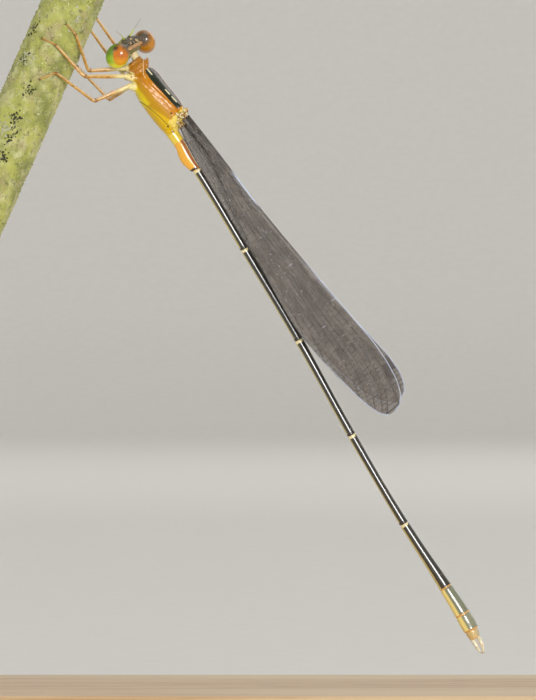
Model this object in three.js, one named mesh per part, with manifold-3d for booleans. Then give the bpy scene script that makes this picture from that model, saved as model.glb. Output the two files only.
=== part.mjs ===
// A life-size damselfly that clings head-up to a short length of stem, on a plain display stand.
// Millimetres, +Z up. The insect's middle plane is y = 0 and its left side faces -Y.
// The origin is the middle of the stand's underside.
import * as THREE from "three";
import { mergeVertices } from "three/addons/utils/BufferGeometryUtils.js";
import Module from "manifold-3d";

const wasm = await Module();
wasm.setup();

// Space left between neighbouring pieces
const GAP = 0.28;

// Thorax: its middle, its tilt from the horizontal and its outline
const THORAX_CENTRE = new THREE.Vector3(-3.64, 0, 40.31);
const THORAX_TILT = THREE.MathUtils.degToRad(53);
const THORAX_FRONT = 1.78;
const THORAX_REAR = -2.02;
const THORAX_TOP = 0.87;
const THORAX_BOTTOM = -1.08;
const THORAX_HALF_WIDTH = 1.03;
const THORAX_REAR_SLANT = 0.26;
const CARINA_HEIGHT = 0.07;

// Prothorax and neck, in the thorax's own frame
const PROTHORAX_FRONT = 2.64;
const PROTHORAX_REAR = THORAX_FRONT + GAP;
const PROTHORAX_HALF_WIDTH = 0.62;
const LOBE_WIDENING = 2;
const NECK_REAR = PROTHORAX_FRONT + GAP;
const NECK_FRONT = 3.3;
const NECK_RADIUS = 0.27;
const NECK_HEIGHT = 0.42;

// Head: its middle, and how it is turned, nodded and rolled against the thorax
const HEAD_CENTRE = new THREE.Vector3(3.32, 0.25, 0.51);
const HEAD_YAW = THREE.MathUtils.degToRad(-15);
const HEAD_NOD = THREE.MathUtils.degToRad(6);
const HEAD_ROLL = THREE.MathUtils.degToRad(-49.5);
const EYE_OFFSET = 1.24;
const EYE_RADII = new THREE.Vector3(0.73, 0.62, 0.84);
const EYE_LEAN = THREE.MathUtils.degToRad(20);
const ANTENNA_LENGTH = 1.3;
const ANTENNA_RADIUS = 0.25;
const ANTENNA_TIP_RADIUS = 0.11;

// Wings: length, thickness of the membrane, height and half width of the vein ridges
const FOREWING_LENGTH = 22.2;
const HINDWING_LENGTH = 21.5;
const WING_THICKNESS = 0.42;
const RIDGE_HEIGHT = 0.08;
const RIDGE_HALF_WIDTH = 0.075;
const STIGMA_HEIGHT = 0.06;
const WING_STATIONS = 23;

// Legs: radii of the solids
const COXA_RADIUS = 0.29;
const FEMUR_RADIUS = 0.26;
const TIBIA_RADIUS = 0.25;
const TARSUS_RADIUS = 0.24;
const CLAW_RADIUS = 0.1;

// Perch: an upright but leaning stem, given by a point on its axis and its lean from the vertical
const STEM_POINT = new THREE.Vector3(-8.83, 0, 46.3);
const STEM_LEAN = THREE.MathUtils.degToRad(23.7);
const STEM_RADIUS = 1.77;
const STEM_TOP = 50.9;
const STEM_BOTTOM = 29;
const STEM_BUMP = 0.07;

// Stand
const BASE_LENGTH = 48;
const BASE_WIDTH = 27;
const BASE_HEIGHT = 4;
const BASE_CORNER = 4;
const BASE_BEVEL = 0.6;
const ROD_RADIUS = 1;

// Colours, roughness and metalness of each material
const FINISHES = {
  orange: { color: 0xb9731c, roughness: 0.4, metalness: 0 },
  brown: { color: 0x8a4a16, roughness: 0.45, metalness: 0 },
  face: { color: 0x2b2a22, roughness: 0.45, metalness: 0 },
  cream: { color: 0xd9cf9a, roughness: 0.5, metalness: 0 },
  eye: { color: 0xd0661a, roughness: 0.2, metalness: 0 },
  leg: { color: 0xc08a45, roughness: 0.45, metalness: 0 },
  abdomen: { color: 0x27301f, roughness: 0.35, metalness: 0.1 },
  tail: { color: 0xb08a4a, roughness: 0.45, metalness: 0 },
  wing: { color: 0x6f6660, roughness: 0.35, metalness: 0 },
  moss: { color: 0x8f9a45, roughness: 0.9, metalness: 0 },
  wood: { color: 0xd8b98c, roughness: 0.5, metalness: 0 },
  steel: { color: 0xb8babd, roughness: 0.3, metalness: 1 },
};

const part = new THREE.Group();

function point(x, y, z) {
  return new THREE.Vector3(x, y, z);
}

// A smooth function through a few [position, value] pairs
function profile(pairs) {
  const positions = pairs.map((pair) => pair[0]);
  const values = pairs.map((pair) => pair[1]);
  const curve = new THREE.CubicInterpolant(positions, values, 1);
  return (at) => curve.evaluate(at)[0];
}

// Repeatable noise from -1 to 1 for whole-number positions
function noise(i, j) {
  const raw = Math.sin(i * 12.9898 + j * 78.233) * 43758.5453;
  return 2 * (raw - Math.floor(raw)) - 1;
}

function signedVolume(geometry) {
  const position = geometry.getAttribute("position");
  const index = geometry.index;
  const [a, b, c] = [point(), point(), point()];
  let volume = 0;
  for (let i = 0; i < index.count; i += 3) {
    a.fromBufferAttribute(position, index.getX(i));
    b.fromBufferAttribute(position, index.getX(i + 1));
    c.fromBufferAttribute(position, index.getX(i + 2));
    volume += a.dot(b.cross(c)) / 6;
  }
  return volume;
}

// Turns the faces of a closed mesh outwards
function outward(geometry) {
  if (signedVolume(geometry) > 0) return geometry;
  const index = geometry.index.array;
  for (let i = 0; i < index.length; i += 3) {
    [index[i + 1], index[i + 2]] = [index[i + 2], index[i + 1]];
  }
  return geometry;
}

// A closed body through rings of equally many points, with a cap fanned from the middle of each end
function loft(rings) {
  const sides = rings[0].length;
  const positions = rings.flat().flatMap((p) => [p.x, p.y, p.z]);
  const faces = [];
  for (let i = 0; i + 1 < rings.length; i++) {
    for (let j = 0; j < sides; j++) {
      const a = i * sides + j;
      const b = i * sides + ((j + 1) % sides);
      faces.push(a, b, b + sides, a, b + sides, a + sides);
    }
  }
  for (const end of [0, rings.length - 1]) {
    const middle = positions.length / 3;
    const centre = point(0, 0, 0);
    rings[end].forEach((p) => centre.addScaledVector(p, 1 / sides));
    positions.push(centre.x, centre.y, centre.z);
    for (let j = 0; j < sides; j++) {
      const a = end * sides + j;
      const b = end * sides + ((j + 1) % sides);
      faces.push(...(end === 0 ? [b, a, middle] : [a, b, middle]));
    }
  }
  const geometry = new THREE.BufferGeometry();
  geometry.setAttribute("position", new THREE.Float32BufferAttribute(positions, 3));
  geometry.setIndex(faces);
  return outward(geometry);
}

// An ellipse of points round a centre, in the plane of two directions
function ring(centre, across, up, halfWidth, halfHeight, sides) {
  return Array.from({ length: sides }, (_, j) => {
    const angle = (2 * Math.PI * j) / sides;
    return centre
      .clone()
      .addScaledVector(across, halfWidth * Math.cos(angle))
      .addScaledVector(up, halfHeight * Math.sin(angle));
  });
}

// Two directions square to a third, the first of them as level as possible
function squareTo(direction) {
  const helper = Math.abs(direction.y) < 0.9 ? point(0, 1, 0) : point(1, 0, 0);
  const across = helper.addScaledVector(direction, -helper.dot(direction)).normalize();
  const up = direction.clone().cross(across);
  return [across, up];
}

// A geometry with its shared vertices merged, as a closed solid
function solid(geometry) {
  const bare = geometry.clone();
  bare.deleteAttribute("normal");
  bare.deleteAttribute("uv");
  const merged = outward(mergeVertices(bare, 1e-4));
  return new wasm.Manifold(
    new wasm.Mesh({
      numProp: 3,
      vertProperties: new Float32Array(merged.getAttribute("position").array),
      triVerts: new Uint32Array(merged.index.array),
    }),
  );
}

// The largest closed surface of a solid, as a geometry
function geometryOf(body) {
  const pieces = body.decompose().sort((a, b) => b.volume() - a.volume());
  const mesh = pieces[0].getMesh();
  const geometry = new THREE.BufferGeometry();
  geometry.setAttribute("position", new THREE.BufferAttribute(mesh.vertProperties, 3));
  geometry.setIndex(new THREE.BufferAttribute(mesh.triVerts, 1));
  return geometry;
}

function join(geometries) {
  return geometries.map(solid).reduce((whole, piece) => whole.add(piece));
}

// Joins the first list of geometries and cuts the second list out of them
function carve(geometries, cutters) {
  const body = cutters.map(solid).reduce((whole, piece) => whole.subtract(piece), join(geometries));
  return geometryOf(body);
}

function ellipsoid(centre, radii, around = 20, along = 12) {
  const geometry = new THREE.SphereGeometry(1, around, along);
  geometry.scale(radii.x, radii.y, radii.z);
  geometry.translate(centre.x, centre.y, centre.z);
  return geometry;
}

// A straight tapered rod between two points
function rod(start, end, startRadius, endRadius, sides = 10) {
  const direction = end.clone().sub(start).normalize();
  const [across, up] = squareTo(direction);
  return loft([
    ring(start, across, up, startRadius, startRadius, sides),
    ring(end, across, up, endRadius, endRadius, sides),
  ]);
}

// A tapered horn along a curve, with its radius given along the curve from 0 to 1
function horn(points, radiusAt, steps, sides = 8) {
  const curve = new THREE.CatmullRomCurve3(points);
  const rings = [];
  for (let i = 0; i <= steps; i++) {
    const [across, up] = squareTo(curve.getTangent(i / steps));
    const radius = radiusAt(i / steps);
    rings.push(ring(curve.getPoint(i / steps), across, up, radius, radius, sides));
  }
  return loft(rings);
}

function addNode(parent, name, geometry, finish) {
  const material = new THREE.MeshStandardMaterial(FINISHES[finish]);
  const mesh = new THREE.Mesh(geometry, material);
  mesh.name = name;
  parent.add(mesh);
  return mesh;
}

// The thorax's frame: x forward, y to the insect's left, z to its back
function makeBodyFrame() {
  const frame = new THREE.Group();
  const forward = point(-Math.cos(THORAX_TILT), 0, Math.sin(THORAX_TILT));
  const left = point(0, -1, 0);
  const up = point(Math.sin(THORAX_TILT), 0, Math.cos(THORAX_TILT));
  frame.matrix.makeBasis(forward, left, up).setPosition(THORAX_CENTRE);
  frame.matrix.decompose(frame.position, frame.quaternion, frame.scale);
  part.add(frame);
  frame.updateMatrixWorld(true);
  return frame;
}

function makeHeadFrame(body) {
  const frame = new THREE.Group();
  frame.position.copy(HEAD_CENTRE);
  frame.rotation.set(HEAD_ROLL, HEAD_NOD, HEAD_YAW, "ZYX");
  body.add(frame);
  frame.updateMatrixWorld(true);
  return frame;
}

// One section of the thorax: a roof-like upper half with a keel, a rounder lower half
function thoraxRing(x, slant, top, bottom, halfWidth, sides) {
  const middle = (top + bottom) / 2;
  const halfHeight = (top - bottom) / 2;
  return Array.from({ length: sides }, (_, j) => {
    const angle = (2 * Math.PI * j) / sides;
    const side = Math.sin(angle);
    const rise = Math.cos(angle);
    const squareness = rise > 0 ? 0.86 : 1;
    const y = halfWidth * side;
    const keel = j === 0 ? CARINA_HEIGHT : 0;
    const z = middle + halfHeight * Math.sign(rise) * Math.abs(rise) ** squareness + keel;
    return point(x + slant * (z - middle), y, z);
  });
}

// The six legs. Places in the thorax's frame are for the left side: root inside the body, hip at
// the trochanter. The knee is in the part's frame. Ankle and toe grip the stem: distance along its
// axis from STEM_POINT, and degrees round it from its right-hand face towards the insect's left.
const LEGS = {
  leg_fore_left: { root: [2.36, 0.16, -0.05], hip: [2.6, 0.22, -0.54],
    knee: [-7.87, -0.5, 41.9], ankle: [-1.92, 57], toe: [-1.6, 80] },
  leg_middle_left: { root: [1.6, 0.4, -0.3], hip: [2.16, 0.56, -0.78],
    knee: [-8.1, -1.6, 41.5], ankle: [-3.02, 83], toe: [-3.0, 112] },
  leg_hind_left: { root: [1.1, 0.4, -0.55], hip: [1.56, 0.52, -1.0],
    knee: [-7.5, -1.0, 40.0], ankle: [-4.58, 63], toe: [-5.36, 84] },
  leg_fore_right: { root: [2.36, 0.16, -0.05], hip: [2.6, 0.22, -0.54],
    knee: [-6.25, 2.15, 43.6], ankle: [-0.38, -33], toe: [-0.03, -54] },
  leg_middle_right: { root: [1.6, 0.4, -0.3], hip: [2.16, 0.56, -0.78],
    knee: [-6.54, 2.45, 42.78], ankle: [-1.19, -36], toe: [-0.99, -58] },
  leg_hind_right: { root: [1.1, 0.4, -0.55], hip: [1.56, 0.52, -1.0],
    knee: [-6.64, 2.45, 40.22], ankle: [-3.62, -25], toe: [-3.21, -47] },
};

function stemAxis() {
  return point(Math.sin(STEM_LEAN), 0, Math.cos(STEM_LEAN));
}

// A point beside the stem, at a distance along its axis, an angle round it and a clearance off it
function besideStem(along, degrees, clearance) {
  const angle = THREE.MathUtils.degToRad(degrees);
  const outwards = point(Math.cos(STEM_LEAN), 0, -Math.sin(STEM_LEAN));
  const reach = STEM_RADIUS + STEM_BUMP + clearance;
  return STEM_POINT.clone()
    .addScaledVector(stemAxis(), along)
    .addScaledVector(outwards, reach * Math.cos(angle))
    .addScaledVector(point(0, -1, 0), reach * Math.sin(angle));
}

// The joint points of one leg in the part's frame
function legPoints(name, body) {
  const leg = LEGS[name];
  const side = name.endsWith("left") ? 1 : -1;
  const onBody = ([x, y, z]) => body.localToWorld(point(x, side * y, z));
  const clearance = TIBIA_RADIUS + GAP;
  return {
    root: onBody(leg.root),
    hip: onBody(leg.hip),
    knee: point(...leg.knee),
    ankle: besideStem(...leg.ankle, clearance),
    toe: besideStem(...leg.toe, clearance),
  };
}

// The ring that a rod's surface makes with a plane through a joint, half a gap back from the joint
function mitre(start, end, joint, normal, radius, sides) {
  const direction = end.clone().sub(start).normalize();
  const [across, up] = squareTo(direction);
  const facing = Math.sign(normal.dot(direction));
  const away = joint.distanceTo(start) < joint.distanceTo(end) ? 1 : -1;
  const plane = joint.clone().addScaledVector(normal, (away * facing * GAP) / 2);
  return ring(start, across, up, radius, radius, sides).map((p) => {
    const distance = plane.clone().sub(p).dot(normal) / direction.dot(normal);
    return p.addScaledVector(direction, distance);
  });
}

// One part of a limb between two joints, cut there along the plane that halves each bend
function limb(before, start, end, after, startRadius, endRadius, sides = 9) {
  const direction = end.clone().sub(start).normalize();
  const [across, up] = squareTo(direction);
  const halving = (from, joint, to) =>
    joint.clone().sub(from).normalize().add(to.clone().sub(joint).normalize()).normalize();
  const startNormal = before ? halving(before, start, end) : direction;
  const endNormal = after ? halving(start, end, after) : direction;
  const inner = [0.35, 0.65].map((t) => {
    const radius = THREE.MathUtils.lerp(startRadius, endRadius, t);
    return ring(start.clone().lerp(end, t), across, up, radius, radius, sides);
  });
  return loft([
    mitre(start, end, start, startNormal, startRadius, sides),
    ...inner,
    mitre(start, end, end, endNormal, endRadius, sides),
  ]);
}

function coxa(points, extra = 0) {
  const end = points.hip.clone();
  const back = points.root.clone().sub(end).normalize();
  end.addScaledVector(back, GAP / 2 - extra);
  return rod(points.root, end, COXA_RADIUS + extra, COXA_RADIUS * 0.9 + extra, 12);
}

// Tarsus: a slim foot that narrows towards the toe and ends in a pair of claws
function tarsus(points) {
  const { knee, ankle, toe } = points;
  const foot = limb(knee, ankle, toe, null, TARSUS_RADIUS, TARSUS_RADIUS * 0.62);
  const direction = toe.clone().sub(ankle).normalize();
  const [across] = squareTo(direction);
  const claws = [-1, 1].map((side) => {
    const root = toe.clone().addScaledVector(direction, -0.25);
    const tip = toe.clone().addScaledVector(direction, 0.06).addScaledVector(across, side * 0.2);
    return rod(root, tip, CLAW_RADIUS, CLAW_RADIUS * 0.4, 5);
  });
  return geometryOf(join([foot, ...claws]));
}

function addLegs(body) {
  for (const name of Object.keys(LEGS)) {
    const p = legPoints(name, body);
    const femur = limb(p.root, p.hip, p.knee, p.ankle, FEMUR_RADIUS, TIBIA_RADIUS);
    const tibia = limb(p.hip, p.knee, p.ankle, p.toe, TIBIA_RADIUS, TARSUS_RADIUS);
    addNode(part, name + "_femur", femur, "leg");
    addNode(part, name + "_tibia", tibia, "leg");
    addNode(part, name + "_tarsus", tarsus(p), "leg");
  }
}

// The coxae of some legs, in the thorax's frame
function coxae(body, names, extra = 0) {
  const toBody = body.matrixWorld.clone().invert();
  return names.map((name) => coxa(legPoints(name, body), extra).applyMatrix4(toBody));
}

function addThorax(body) {
  const top = profile([[-2.1, 0.84], [-1.2, 0.9], [0.4, THORAX_TOP], [1.3, 0.85], [1.8, 0.72]]);
  const bottom = profile([[-2.1, -0.93], [-1.3, -1.04], [-0.3, THORAX_BOTTOM], [1.1, -0.9], [1.8, -0.55]]);
  const width = profile([[-2.1, 0.68], [-1.2, 0.9], [0.1, THORAX_HALF_WIDTH], [1.1, 0.95], [1.8, 0.62]]);
  const rings = [];
  const steps = 12;
  for (let i = 0; i <= steps; i++) {
    const x = THREE.MathUtils.lerp(THORAX_REAR, THORAX_FRONT, i / steps);
    const slant = THORAX_REAR_SLANT * Math.max(0, -x / -THORAX_REAR);
    rings.push(thoraxRing(x, slant, top(x), bottom(x), width(x), 22));
  }
  const wingBases = [-1, 1].flatMap((side) => [
    ellipsoid(point(-1.3, side * 0.66, 0.62), point(0.42, 0.24, 0.24), 12, 8),
    ellipsoid(point(-1.78, side * 0.36, 0.3), point(0.34, 0.22, 0.26), 12, 8),
  ]);
  const rear = coxae(body, ["leg_middle_left", "leg_middle_right", "leg_hind_left", "leg_hind_right"]);
  addNode(body, "thorax", carve([loft(rings), ...wingBases, ...rear], []), "orange");
}

// Prothorax: a low collar with a raised hind lobe and the fore coxae beneath
function addProthorax(body) {
  const height = [[0, 0.62, -0.36, 0.42], [0.45, 0.82, -0.42, 1], [1, 0.84, -0.3, 0.96]];
  const length = PROTHORAX_FRONT - PROTHORAX_REAR;
  const at = (column) => profile(height.map((row) => [row[0], row[column]]));
  const rings = [];
  for (let i = 0; i <= 6; i++) {
    const t = i / 6;
    const x = PROTHORAX_FRONT - t * length;
    rings.push(thoraxRing(x, 0, at(1)(t), at(2)(t), PROTHORAX_HALF_WIDTH * at(3)(t), 18));
  }
  const lobe = horn(
    [point(2.32, 0, 0.6), point(2.36, 0, 0.84), point(2.44, 0, 1.04)],
    (t) => 0.2 - 0.08 * t,
    4,
  );
  lobe.scale(1, LOBE_WIDENING, 1);
  const shape = [loft(rings), lobe, ...coxae(body, ["leg_fore_left", "leg_fore_right"])];
  const clear = coxae(body, ["leg_middle_left", "leg_middle_right"], GAP);
  addNode(body, "prothorax", carve(shape, clear), "brown");
}

function neck(extra = 0) {
  const rear = point(NECK_REAR, 0.02, NECK_HEIGHT);
  const front = point(NECK_FRONT + extra, 0.16, NECK_HEIGHT + 0.06);
  return rod(rear, front, NECK_RADIUS + extra, NECK_RADIUS * 0.85 + extra, 14);
}

function eye(side, extra = 0) {
  const radii = EYE_RADII.clone().addScalar(extra);
  const geometry = ellipsoid(point(0, 0, 0), radii, 24, 16);
  return geometry.rotateX(side * EYE_LEAN).translate(0, side * EYE_OFFSET, 0);
}

// Head capsule: a bar between the eyes, the bulging face, upper lip, chin and lower lip, and three
// ocelli on top. The eyes sit in sockets and the neck in a hollow at the back.
function addHead(body, head) {
  const capsule = [
    ellipsoid(point(0.2, 0, 0.02), point(0.5, 1.34, 0.58), 24, 14),
    ellipsoid(point(0.42, 0, -0.14), point(0.42, 0.78, 0.46), 20, 12),
    ellipsoid(point(0.66, 0, -0.3), point(0.24, 0.56, 0.24), 18, 12),
    ellipsoid(point(0.52, 0, -0.62), point(0.26, 0.5, 0.26), 18, 12),
    ellipsoid(point(0.24, 0, -0.46), point(0.42, 0.64, 0.36), 18, 12),
    ellipsoid(point(0.2, 0, -0.78), point(0.4, 0.42, 0.2), 18, 10),
  ];
  const ocelli = [[0.34, 0], [0.1, 0.22], [0.1, -0.22]].map(([x, y]) =>
    ellipsoid(point(x, y, 0.56), point(0.1, 0.1, 0.1), 10, 8));
  const sockets = [-1, 1].map((side) => eye(side, GAP * 0.8));
  const toHead = head.matrixWorld.clone().invert().multiply(body.matrixWorld);
  const foramen = neck(GAP * 0.8).applyMatrix4(toHead);
  const mouth = new THREE.BoxGeometry(0.3, 1.1, 0.06).translate(0.84, 0, -0.5);
  addNode(head, "head", carve([...capsule, ...ocelli], [...sockets, foramen, mouth]), "face");
}

function addEyes(head) {
  addNode(head, "eye_left", eye(1), "eye");
  addNode(head, "eye_right", eye(-1), "eye");
}

function addAntennae(head) {
  for (const [name, side] of [["antenna_left", 1], ["antenna_right", -1]]) {
    const direction = point(0.25, 0.6 * side, 0.76).normalize();
    const base = point(0.62, 0.24 * side, 0.38);
    const root = base.clone().addScaledVector(direction, GAP * 1.5);
    const bend = root.clone().addScaledVector(direction, ANTENNA_LENGTH * 0.5);
    const tip = base.clone().addScaledVector(direction, ANTENNA_LENGTH).add(point(0, 0.12 * side, 0));
    const radius = (t) => THREE.MathUtils.lerp(ANTENNA_RADIUS, ANTENNA_TIP_RADIUS, Math.sqrt(t));
    addNode(head, name, horn([root, bend, tip], radius, 6), "face");
  }
}

// Abdomen: length, slope below the horizontal, and front, middle and rear half widths by segment
const SEGMENTS = [
  { length: 0.64, slope: 54.6, radii: [0.38, 0.41, 0.4] },
  { length: 2.03, slope: 56.9, radii: [0.37, 0.41, 0.3] },
  { length: 5.72, slope: 58.9, radii: [0.27, 0.25, 0.26] },
  { length: 6.54, slope: 59.2, radii: [0.27, 0.25, 0.26] },
  { length: 6.71, slope: 60.9, radii: [0.27, 0.25, 0.26] },
  { length: 6.36, slope: 59.4, radii: [0.27, 0.25, 0.28] },
  { length: 4.72, slope: 56.9, radii: [0.29, 0.32, 0.4] },
  { length: 1.95, slope: 57.8, radii: [0.41, 0.44, 0.48] },
  { length: 1.1, slope: 61.3, radii: [0.48, 0.49, 0.46] },
  { length: 0.62, slope: 64.7, radii: [0.42, 0.38, 0.3] },
];
const ABDOMEN_START = point(-2.68, 0, 38.06);
const GENITAL_BULGE = 0.16;

// The joints between the segments, from the waist to the end
function abdomenJoints() {
  const joints = [ABDOMEN_START.clone()];
  for (const { length, slope } of SEGMENTS) {
    const angle = THREE.MathUtils.degToRad(slope);
    const step = point(Math.cos(angle), 0, -Math.sin(angle)).multiplyScalar(length);
    joints.push(joints.at(-1).clone().add(step));
  }
  return joints;
}

function abdomenSegment(curve, number, joints) {
  const { length, radii } = SEGMENTS[number];
  const count = joints.length - 1;
  const radius = profile([[0, radii[0]], [0.5, radii[1]], [1, radii[2]]]);
  const trim = GAP / 2 / length;
  const stations = length > 3 ? [0, 0.08, 0.3, 0.55, 0.8, 0.94, 1] : [0, 0.2, 0.5, 0.8, 1];
  const rings = stations.map((station) => {
    const along = THREE.MathUtils.lerp(trim, 1 - trim, station);
    const at = (number + along) / count;
    const centre = curve.getPoint(at);
    const tangent = curve.getTangent(at);
    const down = point(0, 1, 0).cross(tangent).normalize();
    const bulge = number === 1 ? GENITAL_BULGE * Math.max(0, Math.sin(Math.PI * along * 1.15 - 0.6)) : 0;
    centre.addScaledVector(down, bulge / 2);
    const flare = station === 0 || station === 1 ? -0.03 : 0;
    const size = radius(along) + flare;
    return ring(centre, point(0, 1, 0), down, size, size + bulge / 2, 14);
  });
  return loft(rings);
}

function addAbdomen() {
  const joints = abdomenJoints();
  const curve = new THREE.CatmullRomCurve3(joints);
  SEGMENTS.forEach((_, number) => {
    const finish = number < 2 ? "orange" : number > 8 ? "tail" : "abdomen";
    addNode(part, "abdomen_" + (number + 1), abdomenSegment(curve, number, joints), finish);
  });
}

// Claspers at the end: the upper pair hooks down, the lower pair is straighter and slimmer
function addClaspers() {
  const joints = abdomenJoints();
  const end = joints.at(-1);
  const along = end.clone().sub(joints.at(-2)).normalize();
  const dorsal = point(-along.z, 0, along.x);
  const place = (forward, side, up) =>
    end.clone().addScaledVector(along, forward).addScaledVector(dorsal, up).add(point(0, side, 0));
  const pairs = [
    ["cerci", 0.24, [0.28, 0.38, 0.16], 0.92],
    ["paraprocts", -0.2, [-0.24, -0.24, -0.1], 0.84],
  ];
  for (const [name, rootUp, [startUp, middleUp, tipUp], reach] of pairs) {
    const horns = [-1, 1].map((side) =>
      horn(
        [
          place(GAP * 0.55, side * 0.1, startUp * 0.9),
          place(reach * 0.6, side * 0.15, middleUp),
          place(reach, side * 0.09, tipUp),
        ],
        (t) => THREE.MathUtils.lerp(0.15, 0.07, t * t),
        5,
      ));
    const bar = ellipsoid(place(GAP * 0.55 + 0.14, 0, rootUp), point(0.12, 0.2, 0.1), 10, 8);
    addNode(part, name, geometryOf(join([...horns, bar])), "tail");
  }
}

// Edges of each wing, from its root to its tip: distance along a wing of length 1, and distance
// towards the leading edge in millimetres. The hindwing's trailing edge keeps clear of the abdomen.
const FORE_LEADING = [
  [0, 0.17], [0.13, 0.24], [0.33, 0.27], [0.54, 0.5], [0.72, 0.76], [0.82, 0.88],
  [0.9, 0.73], [0.95, 0.42], [0.985, -0.1], [1, -0.62],
];
const FORE_TRAILING = [
  [0, -0.25], [0.13, -0.27], [0.27, -1.0], [0.4, -1.6], [0.55, -2.15], [0.655, -2.4],
  [0.76, -2.3], [0.86, -2.0], [0.92, -1.8], [0.96, -1.5], [0.985, -1.22], [1, -0.95],
];
const HIND_LEADING = [
  [0, 0.17], [0.13, 0.2], [0.33, 0.12], [0.54, 0.22], [0.72, 0.5], [0.82, 0.66],
  [0.9, 0.7], [0.95, 0.52], [0.985, 0.05], [1, -0.42],
];
const HIND_TRAILING = [
  [0, -0.23], [0.07, -0.28], [0.13, -0.5], [0.26, -0.97], [0.39, -1.38], [0.55, -1.9],
  [0.65, -2.2], [0.76, -2.3], [0.86, -2.1], [0.94, -1.7], [0.98, -1.2], [1, -0.8],
];

// Main veins: their place across the wing (0 leading edge, 1 trailing edge) at its root and tip,
// and the stretch of the wing's length over which they stand up
const VEINS = [
  { root: 0.02, tip: 0.02, from: 0, to: 1 },
  { root: 0.15, tip: 0.1, from: 0, to: 0.34 },
  { root: 0.3, tip: 0.2, from: 0, to: 0.98 },
  { root: 0.44, tip: 0.36, from: 0.26, to: 0.97 },
  { root: 0.57, tip: 0.53, from: 0.3, to: 0.96 },
  { root: 0.7, tip: 0.7, from: 0.1, to: 0.93 },
  { root: 0.84, tip: 0.86, from: 0, to: 0.8 },
  { root: 0.98, tip: 0.98, from: 0.1, to: 1 },
];
const RADIUS_VEIN = 2;
const NODUS = 0.34;
const STIGMA = [0.875, 0.925];

// Heights of the outer face across one section of the wing, as [place across, height] pairs
function wingSection(t, width) {
  const places = VEINS.map((vein) => THREE.MathUtils.lerp(vein.root, vein.tip, t));
  const half = Math.min(RIDGE_HALF_WIDTH / width, 0.055);
  const raised = (t > STIGMA[0] && t < STIGMA[1]) || Math.abs(t - NODUS) < 0.012;
  return VEINS.flatMap((vein, i) => {
    const centre = THREE.MathUtils.clamp(places[i], half, 1 - half);
    const plate = raised && i <= RADIUS_VEIN ? STIGMA_HEIGHT : 0;
    const before = i > 0 ? plate : 0;
    const after = i < RADIUS_VEIN ? plate : 0;
    const crest = t >= vein.from && t <= vein.to ? RIDGE_HEIGHT : 0;
    return [[centre - half, before], [centre, Math.max(crest, plate)], [centre + half, after]];
  });
}

// A wing in its own frame: x to the tip, y towards the leading edge, z away from the insect
function wing(spec) {
  const leading = profile(spec.leading);
  const trailing = profile(spec.trailing);
  const rings = [];
  for (let i = 0; i <= WING_STATIONS; i++) {
    const t = Math.sin((Math.PI / 2) * (i / WING_STATIONS));
    const lead = leading(t);
    const trail = trailing(t);
    const shift = spec.shift * Math.max(0, 1 - t * 12) ** 2;
    const x = t * spec.length;
    const inner = shift - WING_THICKNESS / 2;
    const outer = shift + WING_THICKNESS / 2;
    const face = wingSection(t, lead - trail).map(([across, height]) =>
      point(x, THREE.MathUtils.lerp(lead, trail, across), outer + height));
    rings.push([point(x, lead, inner), ...face, point(x, trail, inner)]);
  }
  return loft(rings);
}

// Root and tip of each wing in the thorax's frame, its distance from the middle plane, and how far
// its root bends in from there
const WINGS = {
  forewing: { root: [-2.1, 0.66], tip: [-24.28, 0.66], aside: 1.1, shift: -0.18,
    length: FOREWING_LENGTH, leading: FORE_LEADING, trailing: FORE_TRAILING },
  hindwing: { root: [-2.42, 0.3], tip: [-23.9, 1.15], aside: 0.34, shift: 0,
    length: HINDWING_LENGTH, leading: HIND_LEADING, trailing: HIND_TRAILING },
};

function addWings(body) {
  for (const [name, spec] of Object.entries(WINGS)) {
    for (const [sideName, side] of [["left", 1], ["right", -1]]) {
      const root = point(spec.root[0], side * spec.aside, spec.root[1]);
      const tip = point(spec.tip[0], side * spec.aside, spec.tip[1]);
      const along = tip.clone().sub(root).normalize();
      const aside = point(0, side, 0);
      const lead = point(0, 1, 0).cross(along).normalize();
      const matrix = new THREE.Matrix4().makeBasis(along, lead, aside).setPosition(root);
      const geometry = wing(spec).applyMatrix4(matrix);
      addNode(body, name + "_" + sideName, outward(geometry), "wing");
    }
  }
}

// A rough round stem: slightly bumpy, cut level at its foot so that it can stand on the rod
function addPerch() {
  const axis = stemAxis();
  const outwards = point(Math.cos(STEM_LEAN), 0, -Math.sin(STEM_LEAN));
  const sides = 22;
  const steps = 16;
  const rings = [];
  for (let i = 0; i <= steps; i++) {
    const height = THREE.MathUtils.lerp(STEM_BOTTOM, STEM_TOP, i / steps);
    const centre = STEM_POINT.clone().addScaledVector(axis, (height - STEM_POINT.z) / axis.z);
    const level = i === 0;
    rings.push(
      ring(centre, outwards, point(0, -1, 0), STEM_RADIUS, STEM_RADIUS, sides).map((p, j) => {
        const bump = STEM_BUMP * noise(i, j) * (level ? 0.3 : 1);
        p.addScaledVector(p.clone().sub(centre).normalize(), bump);
        return level ? p.addScaledVector(axis, (STEM_BOTTOM - p.z) / axis.z) : p;
      }),
    );
  }
  addNode(part, "perch_stem", loft(rings), "moss");
}

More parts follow.
